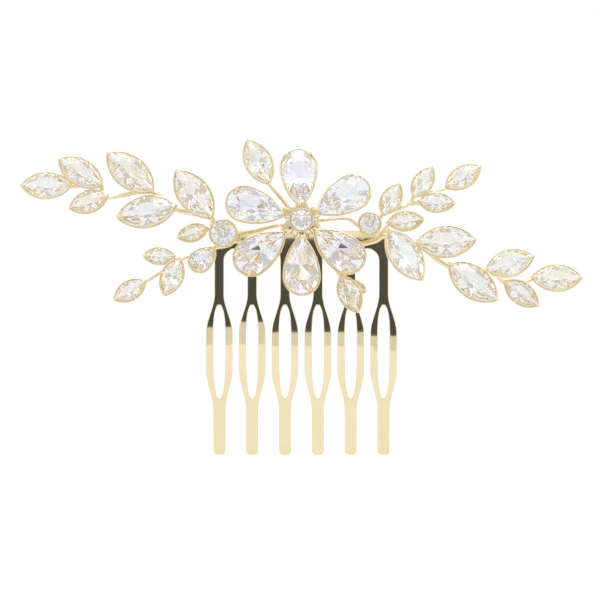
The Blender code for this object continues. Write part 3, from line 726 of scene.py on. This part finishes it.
STEMS = {
    "left_spray_frame": [
        (STEM_RADIUS, [
            bar_foot(-1, 5.2 * MM, -0.2 * MM, STEM_LIFT), bar_foot(-1, 1.4 * MM, 0.3 * MM, STEM_LIFT),
            sprout(LEFT_ROOT, -0.19, 0.10, STEM_LIFT), sprout(LEFT_ROOT, -0.23, 0.27, 1.6 * MM),
            sprout(LEFT_ROOT, -0.86, 0.42, 1.9 * MM), sprout(LEFT_ROOT, -1.26, 0.72, 1.8 * MM),
            sprout(LEFT_ROOT, -2.05, 0.62, 1.0 * MM), sprout(LEFT_ROOT, -2.16, 0.83, 0.6 * MM),
            sprout(LEFT_ROOT, -2.69, 0.81, -0.6 * MM)]),
        (SPRIG_RADIUS, [sprout(LEFT_ROOT, -0.16, 0.06, STEM_LIFT), sprout(LEFT_ROOT, -0.32, 0.05, STEM_LIFT)]),
        (SPRIG_RADIUS, [
            bar_foot(-1, 3.2 * MM, 0.0 * MM, STEM_LIFT), sprout(LEFT_ROOT, 0.24, -0.03, STEM_LIFT),
            between_petals(192, FLOWER_REACH - 6.9 * MM, STEM_LIFT), tie_end(191, STEM_LIFT)]),
    ],
    "lower_left_sprig_frame": [
        (SPRIG_RADIUS, [
            bar_foot(-1, 2.2 * MM, -1.3 * MM, SPRIG_LIFT), sprout(LEFT_ROOT, -0.24, -0.27, SPRIG_LIFT),
            sprout(LEFT_ROOT, -0.52, -0.36, 1.0 * MM), sprout(LEFT_ROOT, -0.78, -0.50, 1.2 * MM),
            sprout(LEFT_ROOT, -1.10, -0.69, 0.4 * MM), sprout(LEFT_ROOT, -1.40, -0.88, 0.6 * MM)]),
        (SPRIG_RADIUS, [sprout(LEFT_ROOT, -0.74, -0.47, 1.2 * MM), sprout(LEFT_ROOT, -0.89, -0.42, 1.2 * MM)]),
    ],
    "right_spray_frame": [
        (STEM_RADIUS, [
            bar_foot(1, 6.4 * MM, -1.0 * MM, STEM_LIFT), bar_foot(1, 2.8 * MM, -0.2 * MM, STEM_LIFT),
            sprout(RIGHT_ROOT, 0.32, -0.21, 1.3 * MM), sprout(RIGHT_ROOT, 0.85, -0.38, 1.7 * MM),
            sprout(RIGHT_ROOT, 1.42, -0.77, 1.8 * MM), sprout(RIGHT_ROOT, 2.11, -0.82, 1.4 * MM),
            sprout(RIGHT_ROOT, 2.40, -1.06, 0.6 * MM), sprout(RIGHT_ROOT, 2.87, -0.97, -0.6 * MM)]),
        (SPRIG_RADIUS, [
            sprout(RIGHT_ROOT, 0.20, -0.20, STEM_LIFT), sprout(RIGHT_ROOT, 0.28, -0.08, 0.6 * MM),
            sprout(RIGHT_ROOT, 0.36, 0.00, 0.5 * MM)]),
    ],
    "upper_right_sprig_frame": [
        (SPRIG_RADIUS, [
            bar_foot(1, 5.5 * MM, 0.4 * MM, SPRIG_LIFT), sprout(RIGHT_ROOT, 0.03, -0.05, SPRIG_LIFT),
            sprout(RIGHT_ROOT, 0.18, 0.09, SPRIG_LIFT), sprout(RIGHT_ROOT, 0.25, 0.17, 1.0 * MM),
            sprout(RIGHT_ROOT, 0.48, 0.25, 1.2 * MM), sprout(RIGHT_ROOT, 0.70, 0.35, 1.3 * MM),
            sprout(RIGHT_ROOT, 0.79, 0.48, 1.3 * MM), sprout(RIGHT_ROOT, 1.07, 0.54, 1.2 * MM),
            sprout(RIGHT_ROOT, 1.37, 0.63, 1.0 * MM)]),
        (SPRIG_RADIUS, [sprout(RIGHT_ROOT, 0.70, 0.35, 1.3 * MM), sprout(RIGHT_ROOT, 0.90, 0.36, 1.3 * MM)]),
        (SPRIG_RADIUS, [
            sprout(RIGHT_ROOT, -0.04, -0.14, SPRIG_LIFT), sprout(RIGHT_ROOT, -0.16, -0.06, SPRIG_LIFT),
            between_petals(3, FLOWER_REACH - 6.9 * MM, SPRIG_LIFT), tie_end(0, SPRIG_LIFT)]),
    ],
    "upper_left_bud_frame": [
        (SPRIG_RADIUS, [
            between_petals(141, FLOWER_PLATE_RADIUS - 3.5 * MM, -SPRIG_RADIUS),
            between_petals(133, FLOWER_PLATE_RADIUS + 0.1 * MM, -SPRIG_RADIUS),
            between_petals(132, FLOWER_REACH - 7.4 * MM, -SPRIG_RADIUS),
            between_petals(132, FLOWER_REACH - 5.6 * MM, -SPRIG_RADIUS)]),
    ],
    "lower_right_bud_frame": [
        (SPRIG_RADIUS, [
            between_petals(-40.1, FLOWER_PLATE_RADIUS + 1.0 * MM, SPRIG_LIFT),
            between_petals(-45.6, FLOWER_PLATE_RADIUS + 2.6 * MM, SPRIG_LIFT),
            between_petals(-52.3, FLOWER_REACH - 6.1 * MM, SPRIG_LIFT),
            between_petals(-54.6, FLOWER_REACH - 2.9 * MM, 1.4 * MM),
            between_petals(-55.2, FLOWER_REACH - 1.2 * MM, 2.1 * MM)]),
        (SPRIG_RADIUS, [
            between_petals(-52.3, FLOWER_REACH - 6.1 * MM, SPRIG_LIFT),
            between_petals(-54.9, FLOWER_REACH - 2.4 * MM, SPRIG_LIFT),
            between_petals(-53.8, FLOWER_REACH + 0.5 * MM, 0.6 * MM)]),
    ],
}


# Beads of braze that bridge the joints: x, z, lift where it starts, lift where it ends, radius
BRAZE_FEET = {
    "left_spray_frame": [(-13.1 * MM, -0.2 * MM, -BRAZE_BITE, STEM_LIFT, 0.55 * MM),
                         (-16.6 * MM, 0.3 * MM, -BRAZE_BITE, STEM_LIFT, 0.55 * MM)],
    "lower_left_sprig_frame": [(-16.0 * MM, -1.25 * MM, -BRAZE_BITE, SPRIG_LIFT, 0.42 * MM)],
    "right_spray_frame": [(11.9 * MM, -1.0 * MM, -BRAZE_BITE, STEM_LIFT, 0.55 * MM),
                          (15.3 * MM, -0.2 * MM, -BRAZE_BITE, STEM_LIFT, 0.55 * MM)],
    "upper_right_sprig_frame": [(12.8 * MM, 0.4 * MM, -BRAZE_BITE, SPRIG_LIFT, 0.42 * MM)],
    "lower_right_bud_frame": [(4.6 * MM, 0.13 * MM, -BRAZE_BITE, SPRIG_LIFT, 0.42 * MM)],
    "upper_left_bud_frame": [(-1.2 * MM, 4.95 * MM, -SPRIG_RADIUS, 0.35 * MM, 0.40 * MM)],
    "flower_plate": [(0.0, 0.4 * MM, -BRAZE_BITE, 0.6 * MM, 0.95 * MM),
                     (-0.9 * MM, 0.9 * MM, -BRAZE_BITE, 0.6 * MM, 0.7 * MM),
                     (0.9 * MM, 0.9 * MM, -BRAZE_BITE, 0.6 * MM, 0.7 * MM)],
}


def braze_wires(node):
    wires = []
    for x, z, start, end, radius in BRAZE_FEET.get(node, []):
        path = [face_point(x, z, start + (end - start) * step / BRAZE_STEPS) for step in range(BRAZE_STEPS + 1)]
        wires.append((path, [radius * spread for spread in BRAZE_SPREAD]))
    return wires


# Comb

def tooth_half_width(drop, flared):
    slot_end = SLOT_TOP + SLOT_LENGTH
    swell = smooth_step(SLOT_TOP - CROTCH_WALL, SLOT_TOP + SWELL_END * SLOT_LENGTH, drop)
    draw_in = smooth_step(SLOT_TOP + DRAW_START * SLOT_LENGTH, slot_end + CROTCH_WALL, drop)
    half = (NECK_WIDTH + (EYE_WIDTH - NECK_WIDTH) * swell + (PRONG_WIDTH - EYE_WIDTH) * draw_in) / 2
    if flared and drop < SHOULDER_RADIUS:
        half += SHOULDER_RADIUS - math.sqrt(SHOULDER_RADIUS ** 2 - (SHOULDER_RADIUS - drop) ** 2)
    left = TOOTH_LENGTH - drop
    if left < TIP_RADIUS:
        half -= TIP_RADIUS - math.sqrt(max(0.0, TIP_RADIUS ** 2 - (TIP_RADIUS - left) ** 2))
    return half


def slot_half_width(drop):
    middle = SLOT_TOP + SLOT_LENGTH / 2
    share = (drop - middle) / (SLOT_LENGTH / 2)
    power = SLOT_TOP_BLUNTNESS if share < 0 else SLOT_FOOT_BLUNTNESS
    return SLOT_WIDTH / 2 * math.sqrt(max(0.0, 1.0 - abs(share) ** power))


def sheet_sweep(drop):
    share = max(0.0, drop - SHOULDER_RADIUS) / (TOOTH_LENGTH - SHOULDER_RADIUS)
    return TOOTH_SWEEP * share * share


def edge_lean(width, drop):
    """How upright an edge of the tooth runs at this drop: 1 where it is straight down, near 0 where it is level."""
    step = 0.01 * MM
    slope = (width(drop + step) - width(drop - step)) / (2 * step)
    return max(LEAST_LEAN, 1.0 / math.sqrt(1.0 + slope * slope))


def spread_from(edge, towards, lean):
    """Places next to an edge, close together, so that the edge can be rolled."""
    span = towards - edge
    way = 1.0 if span > 0 else -1.0
    return [edge + way * min(step * EDGE_ROUND / lean, limit * abs(span))
            for step, limit in zip(ROLL_STEPS, ROLL_LIMITS)]


def tooth_rows():
    """Drops at which the tooth is drawn, close together where an edge turns."""
    roll = [step * EDGE_ROUND for step in ROLL_STEPS]
    slot_end = SLOT_TOP + SLOT_LENGTH
    neck_end = SLOT_TOP - CROTCH_WALL
    prong_end = TOOTH_LENGTH - TIP_RADIUS
    rows = [-BAR_HEIGHT + step for step in roll] + [-BAR_HEIGHT / 2] + [-step for step in reversed(roll)]
    rows += [SHOULDER_RADIUS * (1 - math.cos(math.pi / 2 * i / 12)) for i in range(1, 13)]
    rows += [SHOULDER_RADIUS + (neck_end - SHOULDER_RADIUS) * i / 6 for i in range(1, 7)]
    rows += [neck_end + CROTCH_WALL * i / 4 for i in range(1, 4)] + [SLOT_TOP - step for step in reversed(roll)]
    rows += [SLOT_TOP + SLOT_LENGTH * (1 - math.cos(math.pi * i / 44)) / 2 for i in range(1, 44)]
    rows += [slot_end + step for step in roll]
    rows += [slot_end + 2 * roll[-1] + (prong_end - slot_end - 2 * roll[-1]) * i / 10 for i in range(10)]
    rows += [prong_end + TIP_RADIUS * math.sin(math.pi / 2 * i / 10) for i in range(11)]
    return rows


def tooth_sheet():
    """One tooth and its stretch of the bar, as a thin sheet."""
    points, faces, rows = [], [], []

    def put(places, drop):
        first = len(points)
        points.extend((x, sheet_sweep(drop), -BAR_HEIGHT / 2 - drop) for x in places)
        return list(range(first, len(points)))

    for drop in tooth_rows():
        level = max(drop, 0.0)
        half = tooth_half_width(level, False)
        gap = slot_half_width(drop) if SLOT_TOP < drop < SLOT_TOP + SLOT_LENGTH else 0.0
        outer_lean = edge_lean(lambda d: tooth_half_width(max(d, 0.0), False), drop)
        by_slot_end = min(abs(drop - SLOT_TOP), abs(drop - SLOT_TOP - SLOT_LENGTH)) < 2 * EDGE_ROUND
        inner_lean = edge_lean(slot_half_width, drop) if gap else SLOT_END_LEAN if by_slot_end else 1.0
        leg = spread_from(half, gap, outer_lean) + spread_from(gap, half, inner_lean)[::-1]
        flare = []
        if drop < SHOULDER_RADIUS + WELD:
            wide = tooth_half_width(level, True)
            lean = math.sqrt(max(0.0, 1.0 - (1.0 - level / SHOULDER_RADIUS) ** 2))
            flare = spread_from(wide, half, max(LEAST_LEAN, lean))
        rows.append((put([-x for x in flare + leg], drop), put(flare + leg, drop)))
    for above, below in zip(rows, rows[1:]):
        for upper, lower in zip(above, below):
            upper = upper[len(upper) - len(lower):]
            for column in range(len(lower) - 1):
                faces.append((upper[column], upper[column + 1], lower[column + 1], lower[column]))
    work = bmesh.new()
    mesh = solid_mesh("tooth", points, faces)
    work.from_mesh(mesh)
    bmesh.ops.remove_doubles(work, verts=work.verts, dist=WELD)
    for face in work.faces:
        if face.normal.y > 0:
            face.normal_flip()
    work.to_mesh(mesh)
    work.free()
    return mesh


def teeth_tree():
    """Sets teeth side by side along the bar, trims the bar's ends, thickens the sheet and rolls its edges."""
    tree = Tree("comb_teeth")
    for name, kind in (("Tooth Count", "NodeSocketInt"), ("First Tooth", "NodeSocketVector"),
                       ("Tooth Pitch", "NodeSocketVector"), ("Bar Half Length", "NodeSocketFloat"),
                       ("Bar Foot", "NodeSocketFloat"), ("Sheet Thickness", "NodeSocketFloat"),
                       ("Edge Radius", "NodeSocketFloat"), ("Metal", "NodeSocketMaterial")):
        tree.value(name, kind)
    given = tree.node("NodeGroupInput")
    result = tree.node("NodeGroupOutput")

    def sums(operation, first, second):
        node = tree.node("ShaderNodeMath", operation=operation)
        for socket, value in zip(node.inputs, (first, second)):
            if isinstance(value, float):
                socket.default_value = value
            else:
                tree.link(value, socket)
        return node.outputs["Value"]

    row = tree.node("GeometryNodeMeshLine", mode="OFFSET")
    teeth = tree.node("GeometryNodeInstanceOnPoints")
    whole = tree.node("GeometryNodeRealizeInstances")
    weld = tree.node("GeometryNodeMergeByDistance")
    weld.inputs["Distance"].default_value = WELD
    tree.link(given.outputs["Tooth Count"], row.inputs["Count"])
    tree.link(given.outputs["First Tooth"], row.inputs["Start Location"])
    tree.link(given.outputs["Tooth Pitch"], row.inputs["Offset"])
    tree.link(row.outputs["Mesh"], teeth.inputs["Points"])
    tree.link(given.outputs["Geometry"], teeth.inputs["Instance"])
    tree.link(teeth.outputs["Instances"], whole.inputs["Geometry"])
    tree.link(whole.outputs["Geometry"], weld.inputs["Geometry"])

    place = tree.node("GeometryNodeInputPosition")
    part = tree.node("ShaderNodeSeparateXYZ")
    tree.link(place.outputs["Position"], part.inputs["Vector"])
    beyond = sums("GREATER_THAN", sums("ABSOLUTE", part.outputs["X"], 0.0), given.outputs["Bar Half Length"])
    on_bar = sums("GREATER_THAN", part.outputs["Z"], given.outputs["Bar Foot"])
    trim = tree.node("GeometryNodeDeleteGeometry", domain="FACE")
    tree.link(weld.outputs["Geometry"], trim.inputs["Geometry"])
    tree.link(sums("MULTIPLY", beyond, on_bar), trim.inputs["Selection"])

    neighbours = tree.node("GeometryNodeInputMeshEdgeNeighbors")
    rim = tree.node("GeometryNodeDeleteGeometry", domain="EDGE", mode="EDGE_FACE")
    tree.link(trim.outputs["Geometry"], rim.inputs["Geometry"])
    tree.link(sums("GREATER_THAN", neighbours.outputs["Face Count"], 1.5), rim.inputs["Selection"])
    nearest = tree.node("GeometryNodeProximity", target_element="EDGES")
    tree.link(rim.outputs["Geometry"], nearest.inputs[0])
    radius = given.outputs["Edge Radius"]
    inside = sums("MAXIMUM", sums("SUBTRACT", radius, nearest.outputs["Distance"]), 0.0)
    rest = sums("SQRT", sums("MAXIMUM", sums("SUBTRACT", sums("MULTIPLY", radius, radius),
                                             sums("MULTIPLY", inside, inside)), 0.0), 0.0)
    keep = tree.node("GeometryNodeStoreNamedAttribute", data_type="FLOAT", domain="POINT")
    keep.inputs["Name"].default_value = "edge_roll"
    tree.link(trim.outputs["Geometry"], keep.inputs["Geometry"])
    tree.link(sums("SUBTRACT", radius, rest), keep.inputs["Value"])
    roll = tree.node("GeometryNodeInputNamedAttribute", data_type="FLOAT")
    roll.inputs["Name"].default_value = "edge_roll"

    def moved(geometry, distance):
        offset = tree.node("ShaderNodeCombineXYZ")
        node = tree.node("GeometryNodeSetPosition")
        tree.link(distance, offset.inputs["Y"])
        tree.link(geometry, node.inputs["Geometry"])
        tree.link(offset.outputs["Vector"], node.inputs["Offset"])
        return node.outputs["Geometry"]

    depth = tree.node("ShaderNodeCombineXYZ")
    tree.link(sums("MULTIPLY", given.outputs["Sheet Thickness"], -1.0), depth.inputs["Y"])
    front = tree.node("GeometryNodeExtrudeMesh", mode="FACES")
    front.inputs["Offset Scale"].default_value = 1.0
    front.inputs["Individual"].default_value = False
    tree.link(keep.outputs["Geometry"], front.inputs["Mesh"])
    tree.link(depth.outputs["Vector"], front.inputs["Offset"])
    way = sums("SUBTRACT", sums("MULTIPLY", front.outputs["Top"], 2.0), 1.0)
    rolled_front = moved(front.outputs["Mesh"], sums("MULTIPLY", roll.outputs["Attribute"], way))
    back = tree.node("GeometryNodeFlipFaces")
    tree.link(keep.outputs["Geometry"], back.inputs["Mesh"])
    rolled_back = moved(back.outputs["Mesh"], sums("MULTIPLY", roll.outputs["Attribute"], -1.0))

    join = tree.node("GeometryNodeJoinGeometry")
    close = tree.node("GeometryNodeMergeByDistance")
    close.inputs["Distance"].default_value = WELD
    finish = tree.node("GeometryNodeRealizeInstances")
    paint = tree.node("GeometryNodeSetMaterial")
    tree.link(rolled_front, join.inputs["Geometry"])
    tree.link(rolled_back, join.inputs["Geometry"])
    tree.link(join.outputs["Geometry"], close.inputs["Geometry"])
    tree.link(close.outputs["Geometry"], finish.inputs["Geometry"])
    tree.link(finish.outputs["Geometry"], paint.inputs["Geometry"])
    tree.link(given.outputs["Metal"], paint.inputs["Material"])
    tree.link(paint.outputs["Geometry"], result.inputs["Geometry"])
    return tree


def make_comb():
    """The stamped comb, with its edges rolled soft."""
    first = -(TOOTH_COUNT - 1) / 2 * TOOTH_PITCH
    mesh = teeth_tree().run(tooth_sheet(), {
        "Tooth Count": TOOTH_COUNT, "First Tooth": (first, 0.0, 0.0), "Tooth Pitch": (TOOTH_PITCH, 0.0, 0.0),
        "Bar Half Length": BAR_HALF, "Bar Foot": -BAR_HEIGHT / 2 - SHOULDER_RADIUS,
        "Sheet Thickness": SHEET_THICKNESS, "Edge Radius": EDGE_ROUND, "Metal": STAMPED_GOLD})
    put_together("stamped_comb", [mesh], STAMPED_GOLD, ["comb"], COMB_SHARP_ANGLE)


def turned_mesh(profile, centre, steps, lobes=0, lobe_depth=0.0):
    """A closed piece turned about the flower's axis from (radius, lift) pairs, drawn in between its lobes."""
    points, rings, faces = [], [], []
    for radius, lift in profile:
        rings.append(range(len(points), len(points) + steps))
        for step in range(steps):
            turn = 2 * math.pi * step / steps
            reach = lobed(radius, turn, lobes, lobe_depth)
            points.append(face_point(centre[0] + reach * math.cos(turn), centre[1] + reach * math.sin(turn), lift))
    for lower, upper in zip(rings, rings[1:]):
        bridge(faces, lower, upper)
    faces.append(tuple(reversed(rings[0])))
    faces.append(tuple(rings[-1]))
    return solid_mesh("turned", points, faces)


def make_flower_plate():
    low, high = BRAZE_GAP, BRAZE_GAP + 2 * STEM_RADIUS
    soft, edge = PLATE_SOFT, FLOWER_PLATE_RADIUS
    profile = [(edge - soft, low), (edge - 0.3 * soft, low + 0.3 * soft), (edge, low + soft), (edge, high - soft),
               (edge - 0.3 * soft, high - 0.3 * soft), (edge - soft, high), (0.4 * edge, high)]
    plate = turned_mesh(profile, FLOWER_CENTRE, PLATE_STEPS, PLATE_LOBES, LOBE_DEPTH)
    beads = draw_wires(braze_wires("flower_plate"), PLATE_BEAD_SIDES)
    put_together("flower_base_plate", [plate, beads], CAST_GOLD, ["flower_plate"], CAST_SHARP_ANGLE)


# Putting the whole comb together

def make_metal(node, stones, places):
    """One casting or setting: its stems, and a cup with claws for each of its stones."""
    meshes = []
    claws = []
    for stone in stones:
        cut, place = places[stone]
        meshes.append(cup_mesh(cut, place))
        claws += claw_wires(cut, place)
    meshes.append(draw_wires(claws, CLAW_SIDES))
    stems = [stem_wire(points, radius) for radius, points in STEMS.get(node, [])] + braze_wires(node)
    if stems:
        meshes.append(draw_wires(stems, STEM_SIDES))
    if node == "centre_setting":
        low = BRAZE_GAP + 2 * STEM_RADIUS
        high = low + BRAZE_GAP + CENTRE_RISE + CULET_CLEARANCE / 2
        meshes.append(turned_mesh([(POST_RADIUS, low), (POST_RADIUS, high)], FLOWER_CENTRE, POST_STEPS))
    name = node.replace("_frame", "_casting").replace("_setting", "_claw_cup")
    put_together(name, meshes, CAST_GOLD, [node], CAST_SHARP_ANGLE)


def make_object():
    # Draws the painted fire tints for the stones' facets.
    draw = random.Random(PAINTED_LIGHT_TINT_SEED)
    stones = sorted(name for name in NODES if "stone" in name)
    places = {name: make_stone(name, draw) for name in stones}
    make_comb()
    make_flower_plate()
    for node in sorted(NODES):
        if node.endswith("_setting"):
            make_metal(node, [node.replace("_setting", "_stone")], places)
        if node.endswith("_frame"):
            make_metal(node, [name for name in stones if name.startswith(node.replace("_frame", "_stone"))], places)


make_object()


# Studio

def add_card(name, points, grey):
    """A card that only reflections and refractions see."""
    mesh = solid_mesh(name, points, [(0, 1, 2, 3)])
    card = bpy.data.objects.new(name, mesh)
    SCENE.collection.objects.link(card)
    material, nodes, _ = new_material(name)
    shader = nodes["Principled BSDF"]
    shader.inputs["Base Color"].default_value = (0, 0, 0, 1)
    shader.inputs["Specular IOR Level"].default_value = 0
    shader.inputs["Emission Color"].default_value = (1, 1, 1, 1)
    shader.inputs["Emission Strength"].default_value = grey
    mesh.materials.append(material)
    card.visible_camera = False
    card.visible_diffuse = False
    card.visible_shadow = False


def upright(left, right, depth, low, high):
    return [(left, depth, low), (right, depth, low), (right, depth, high), (left, depth, high)]


def lying(left, right, near, far, height):
    return [(left, near, height), (right, near, height), (right, far, height), (left, far, height)]


def seen_directly(nodes, links):
    """1 for what the camera, a reflection or a refraction sees, else 0."""
    path = nodes.new("ShaderNodeLightPath")
    first = nodes.new("ShaderNodeMath")
    first.operation = "MAXIMUM"
    second = nodes.new("ShaderNodeMath")
    second.operation = "MAXIMUM"
    links.new(path.outputs["Is Camera Ray"], first.inputs[0])
    links.new(path.outputs["Is Glossy Ray"], first.inputs[1])
    links.new(first.outputs[0], second.inputs[0])
    links.new(path.outputs["Is Transmission Ray"], second.inputs[1])
    return second.outputs[0]


CAMERA_DISTANCE = 0.70
VIEW_WIDTH = 126.0 * MM
LENS = 200.0
FLOOR = CAD_BOX[0][2] - 0.05 * MM
FLOOR_HALF = 3.0
CARD_DISTANCE = 0.30
FLOOR_GLOW_SEEN = 0.75
FLOOR_GLOW_MIRRORED = 0.45
ROOM_GLOW_LEAST = 0.4
ROOM_GLOW_SEEN = 1.0
CAMERA_PLACE = (-0.3 * MM, -CAMERA_DISTANCE, -12.6 * MM)
SOFTBOX_PLACE = (0, -0.25, 0.6)
SOFTBOX_SIZE = 0.5
SOFTBOX_POWER = 1.5
MAX_BOUNCES = 24
MIRROR_BOUNCES = 16

# The dark card's foot in front of each tooth, and how far the dark and the grey reach along the floor
CARD_TOP = 6.0 * MM
CARD_HALF = 50.0 * MM
CARD_COLUMN = 9.85 * MM
CARD_FEET = (-42.8 * MM, -39.5 * MM, None, None, None, None)
DARK_REACH = (0.0, 0.0, 0.011, 0.010, 0.009, 0.035)
GREY_REACH = (0.085, 0.080, 0.090, 0.090, 0.090, 0.110)
DARK_LEVEL = 0.085
GREY_LEVEL = 0.78
CARD_LIFT = 0.2 * MM

# The grey wall and the window further off, which the stones mirror
WALL_HALF = 0.5
WALL_DISTANCE = 1.0
WALL_FOOT = -0.04
WALL_TOP = 0.5
WALL_LEVEL = 0.6
WINDOW_HALF = 0.08
WINDOW_DISTANCE = 0.9
WINDOW_TOP = 0.07
WINDOW_LEVEL = 1.0


def make_cards():
    """Cards that shade the reflections: a dark one for the necks, a grey strip at its foot and a grey wall."""
    front = -CARD_DISTANCE
    low = FLOOR + CARD_LIFT
    edges = [-CARD_HALF] + [CARD_COLUMN * step for step in (-2, -1, 0, 1, 2)] + [CARD_HALF]
    for tooth in range(TOOTH_COUNT):
        left, right = edges[tooth], edges[tooth + 1]
        foot = CARD_FEET[tooth] or FLOOR
        near = front + DARK_REACH[tooth]
        name = "card_%d" % (tooth + 1)
        add_card("dark_" + name, upright(left, right, front, foot, CARD_TOP), DARK_LEVEL)
        if CARD_FEET[tooth]:
            add_card("pale_" + name, upright(left, right, front, FLOOR, foot), GREY_LEVEL)
        else:
            add_card("dark_floor_" + name, lying(left, right, front, near, low), DARK_LEVEL)
        end = front + GREY_REACH[tooth]
        add_card("grey_floor_" + name, lying(left, right, near, end, low), GREY_LEVEL)
    add_card("front_wall", upright(-WALL_HALF, WALL_HALF, -WALL_DISTANCE, WALL_FOOT, WALL_TOP), WALL_LEVEL)
    add_card("window", upright(-WINDOW_HALF, WINDOW_HALF, -WINDOW_DISTANCE, 0.0, WINDOW_TOP), WINDOW_LEVEL)


def make_camera():
    data = bpy.data.cameras.new("camera")
    data.lens = LENS
    data.sensor_width = LENS * VIEW_WIDTH / CAMERA_DISTANCE
    camera = bpy.data.objects.new("camera", data)
    camera.location = CAMERA_PLACE
    camera.rotation_euler = (math.pi / 2, 0, 0)
    SCENE.collection.objects.link(camera)
    SCENE.camera = camera


def make_floor():
    mesh = solid_mesh("floor", lying(-FLOOR_HALF, FLOOR_HALF, -FLOOR_HALF, FLOOR_HALF, FLOOR), [(0, 1, 2, 3)])
    floor = bpy.data.objects.new("floor", mesh)
    SCENE.collection.objects.link(floor)
    material, nodes, links = new_material("white_floor")
    shader = nodes["Principled BSDF"]
    shader.inputs["Base Color"].default_value = (0.8, 0.8, 0.8, 1)
    shader.inputs["Roughness"].default_value = 0.9
    shader.inputs["Specular IOR Level"].default_value = 0.0
    path = nodes.new("ShaderNodeLightPath")
    mirrored = nodes.new("ShaderNodeMath")
    mirrored.operation = "MAXIMUM"
    links.new(path.outputs["Is Glossy Ray"], mirrored.inputs[0])
    links.new(path.outputs["Is Transmission Ray"], mirrored.inputs[1])
    dim = nodes.new("ShaderNodeMath")
    dim.operation = "MULTIPLY"
    dim.inputs[1].default_value = FLOOR_GLOW_MIRRORED
    links.new(mirrored.outputs[0], dim.inputs[0])
    glow = nodes.new("ShaderNodeMath")
    glow.operation = "MULTIPLY_ADD"
    glow.inputs[1].default_value = FLOOR_GLOW_SEEN
    links.new(path.outputs["Is Camera Ray"], glow.inputs[0])
    links.new(dim.outputs[0], glow.inputs[2])
    shader.inputs["Emission Color"].default_value = (1, 1, 1, 1)
    links.new(glow.outputs[0], shader.inputs["Emission Strength"])
    mesh.materials.append(material)


def make_world():
    world = bpy.data.worlds.new("white_room")
    SCENE.world = world
    world.use_nodes = True
    nodes, links = world.node_tree.nodes, world.node_tree.links
    back = nodes["Background"]
    back.inputs["Color"].default_value = (1, 1, 1, 1)
    level = nodes.new("ShaderNodeMapRange")
    level.inputs["To Min"].default_value = ROOM_GLOW_LEAST
    level.inputs["To Max"].default_value = ROOM_GLOW_SEEN
    links.new(seen_directly(nodes, links), level.inputs["Value"])
    links.new(level.outputs[0], back.inputs["Strength"])


def make_lamp(name, place, aim, size, power):
    data = bpy.data.lights.new(name, "AREA")
    data.size = size
    data.energy = power
    obj = bpy.data.objects.new(name, data)
    obj.location = place
    obj.rotation_euler = (Vector(aim) - Vector(place)).to_track_quat("-Z", "Y").to_euler()
    SCENE.collection.objects.link(obj)


SCENE.cycles.max_bounces = MAX_BOUNCES
SCENE.cycles.glossy_bounces = MIRROR_BOUNCES
SCENE.cycles.transmission_bounces = MIRROR_BOUNCES
make_camera()
make_floor()
make_world()
make_cards()
make_lamp("top_softbox", SOFTBOX_PLACE, (0, 0, 0), SOFTBOX_SIZE, SOFTBOX_POWER)
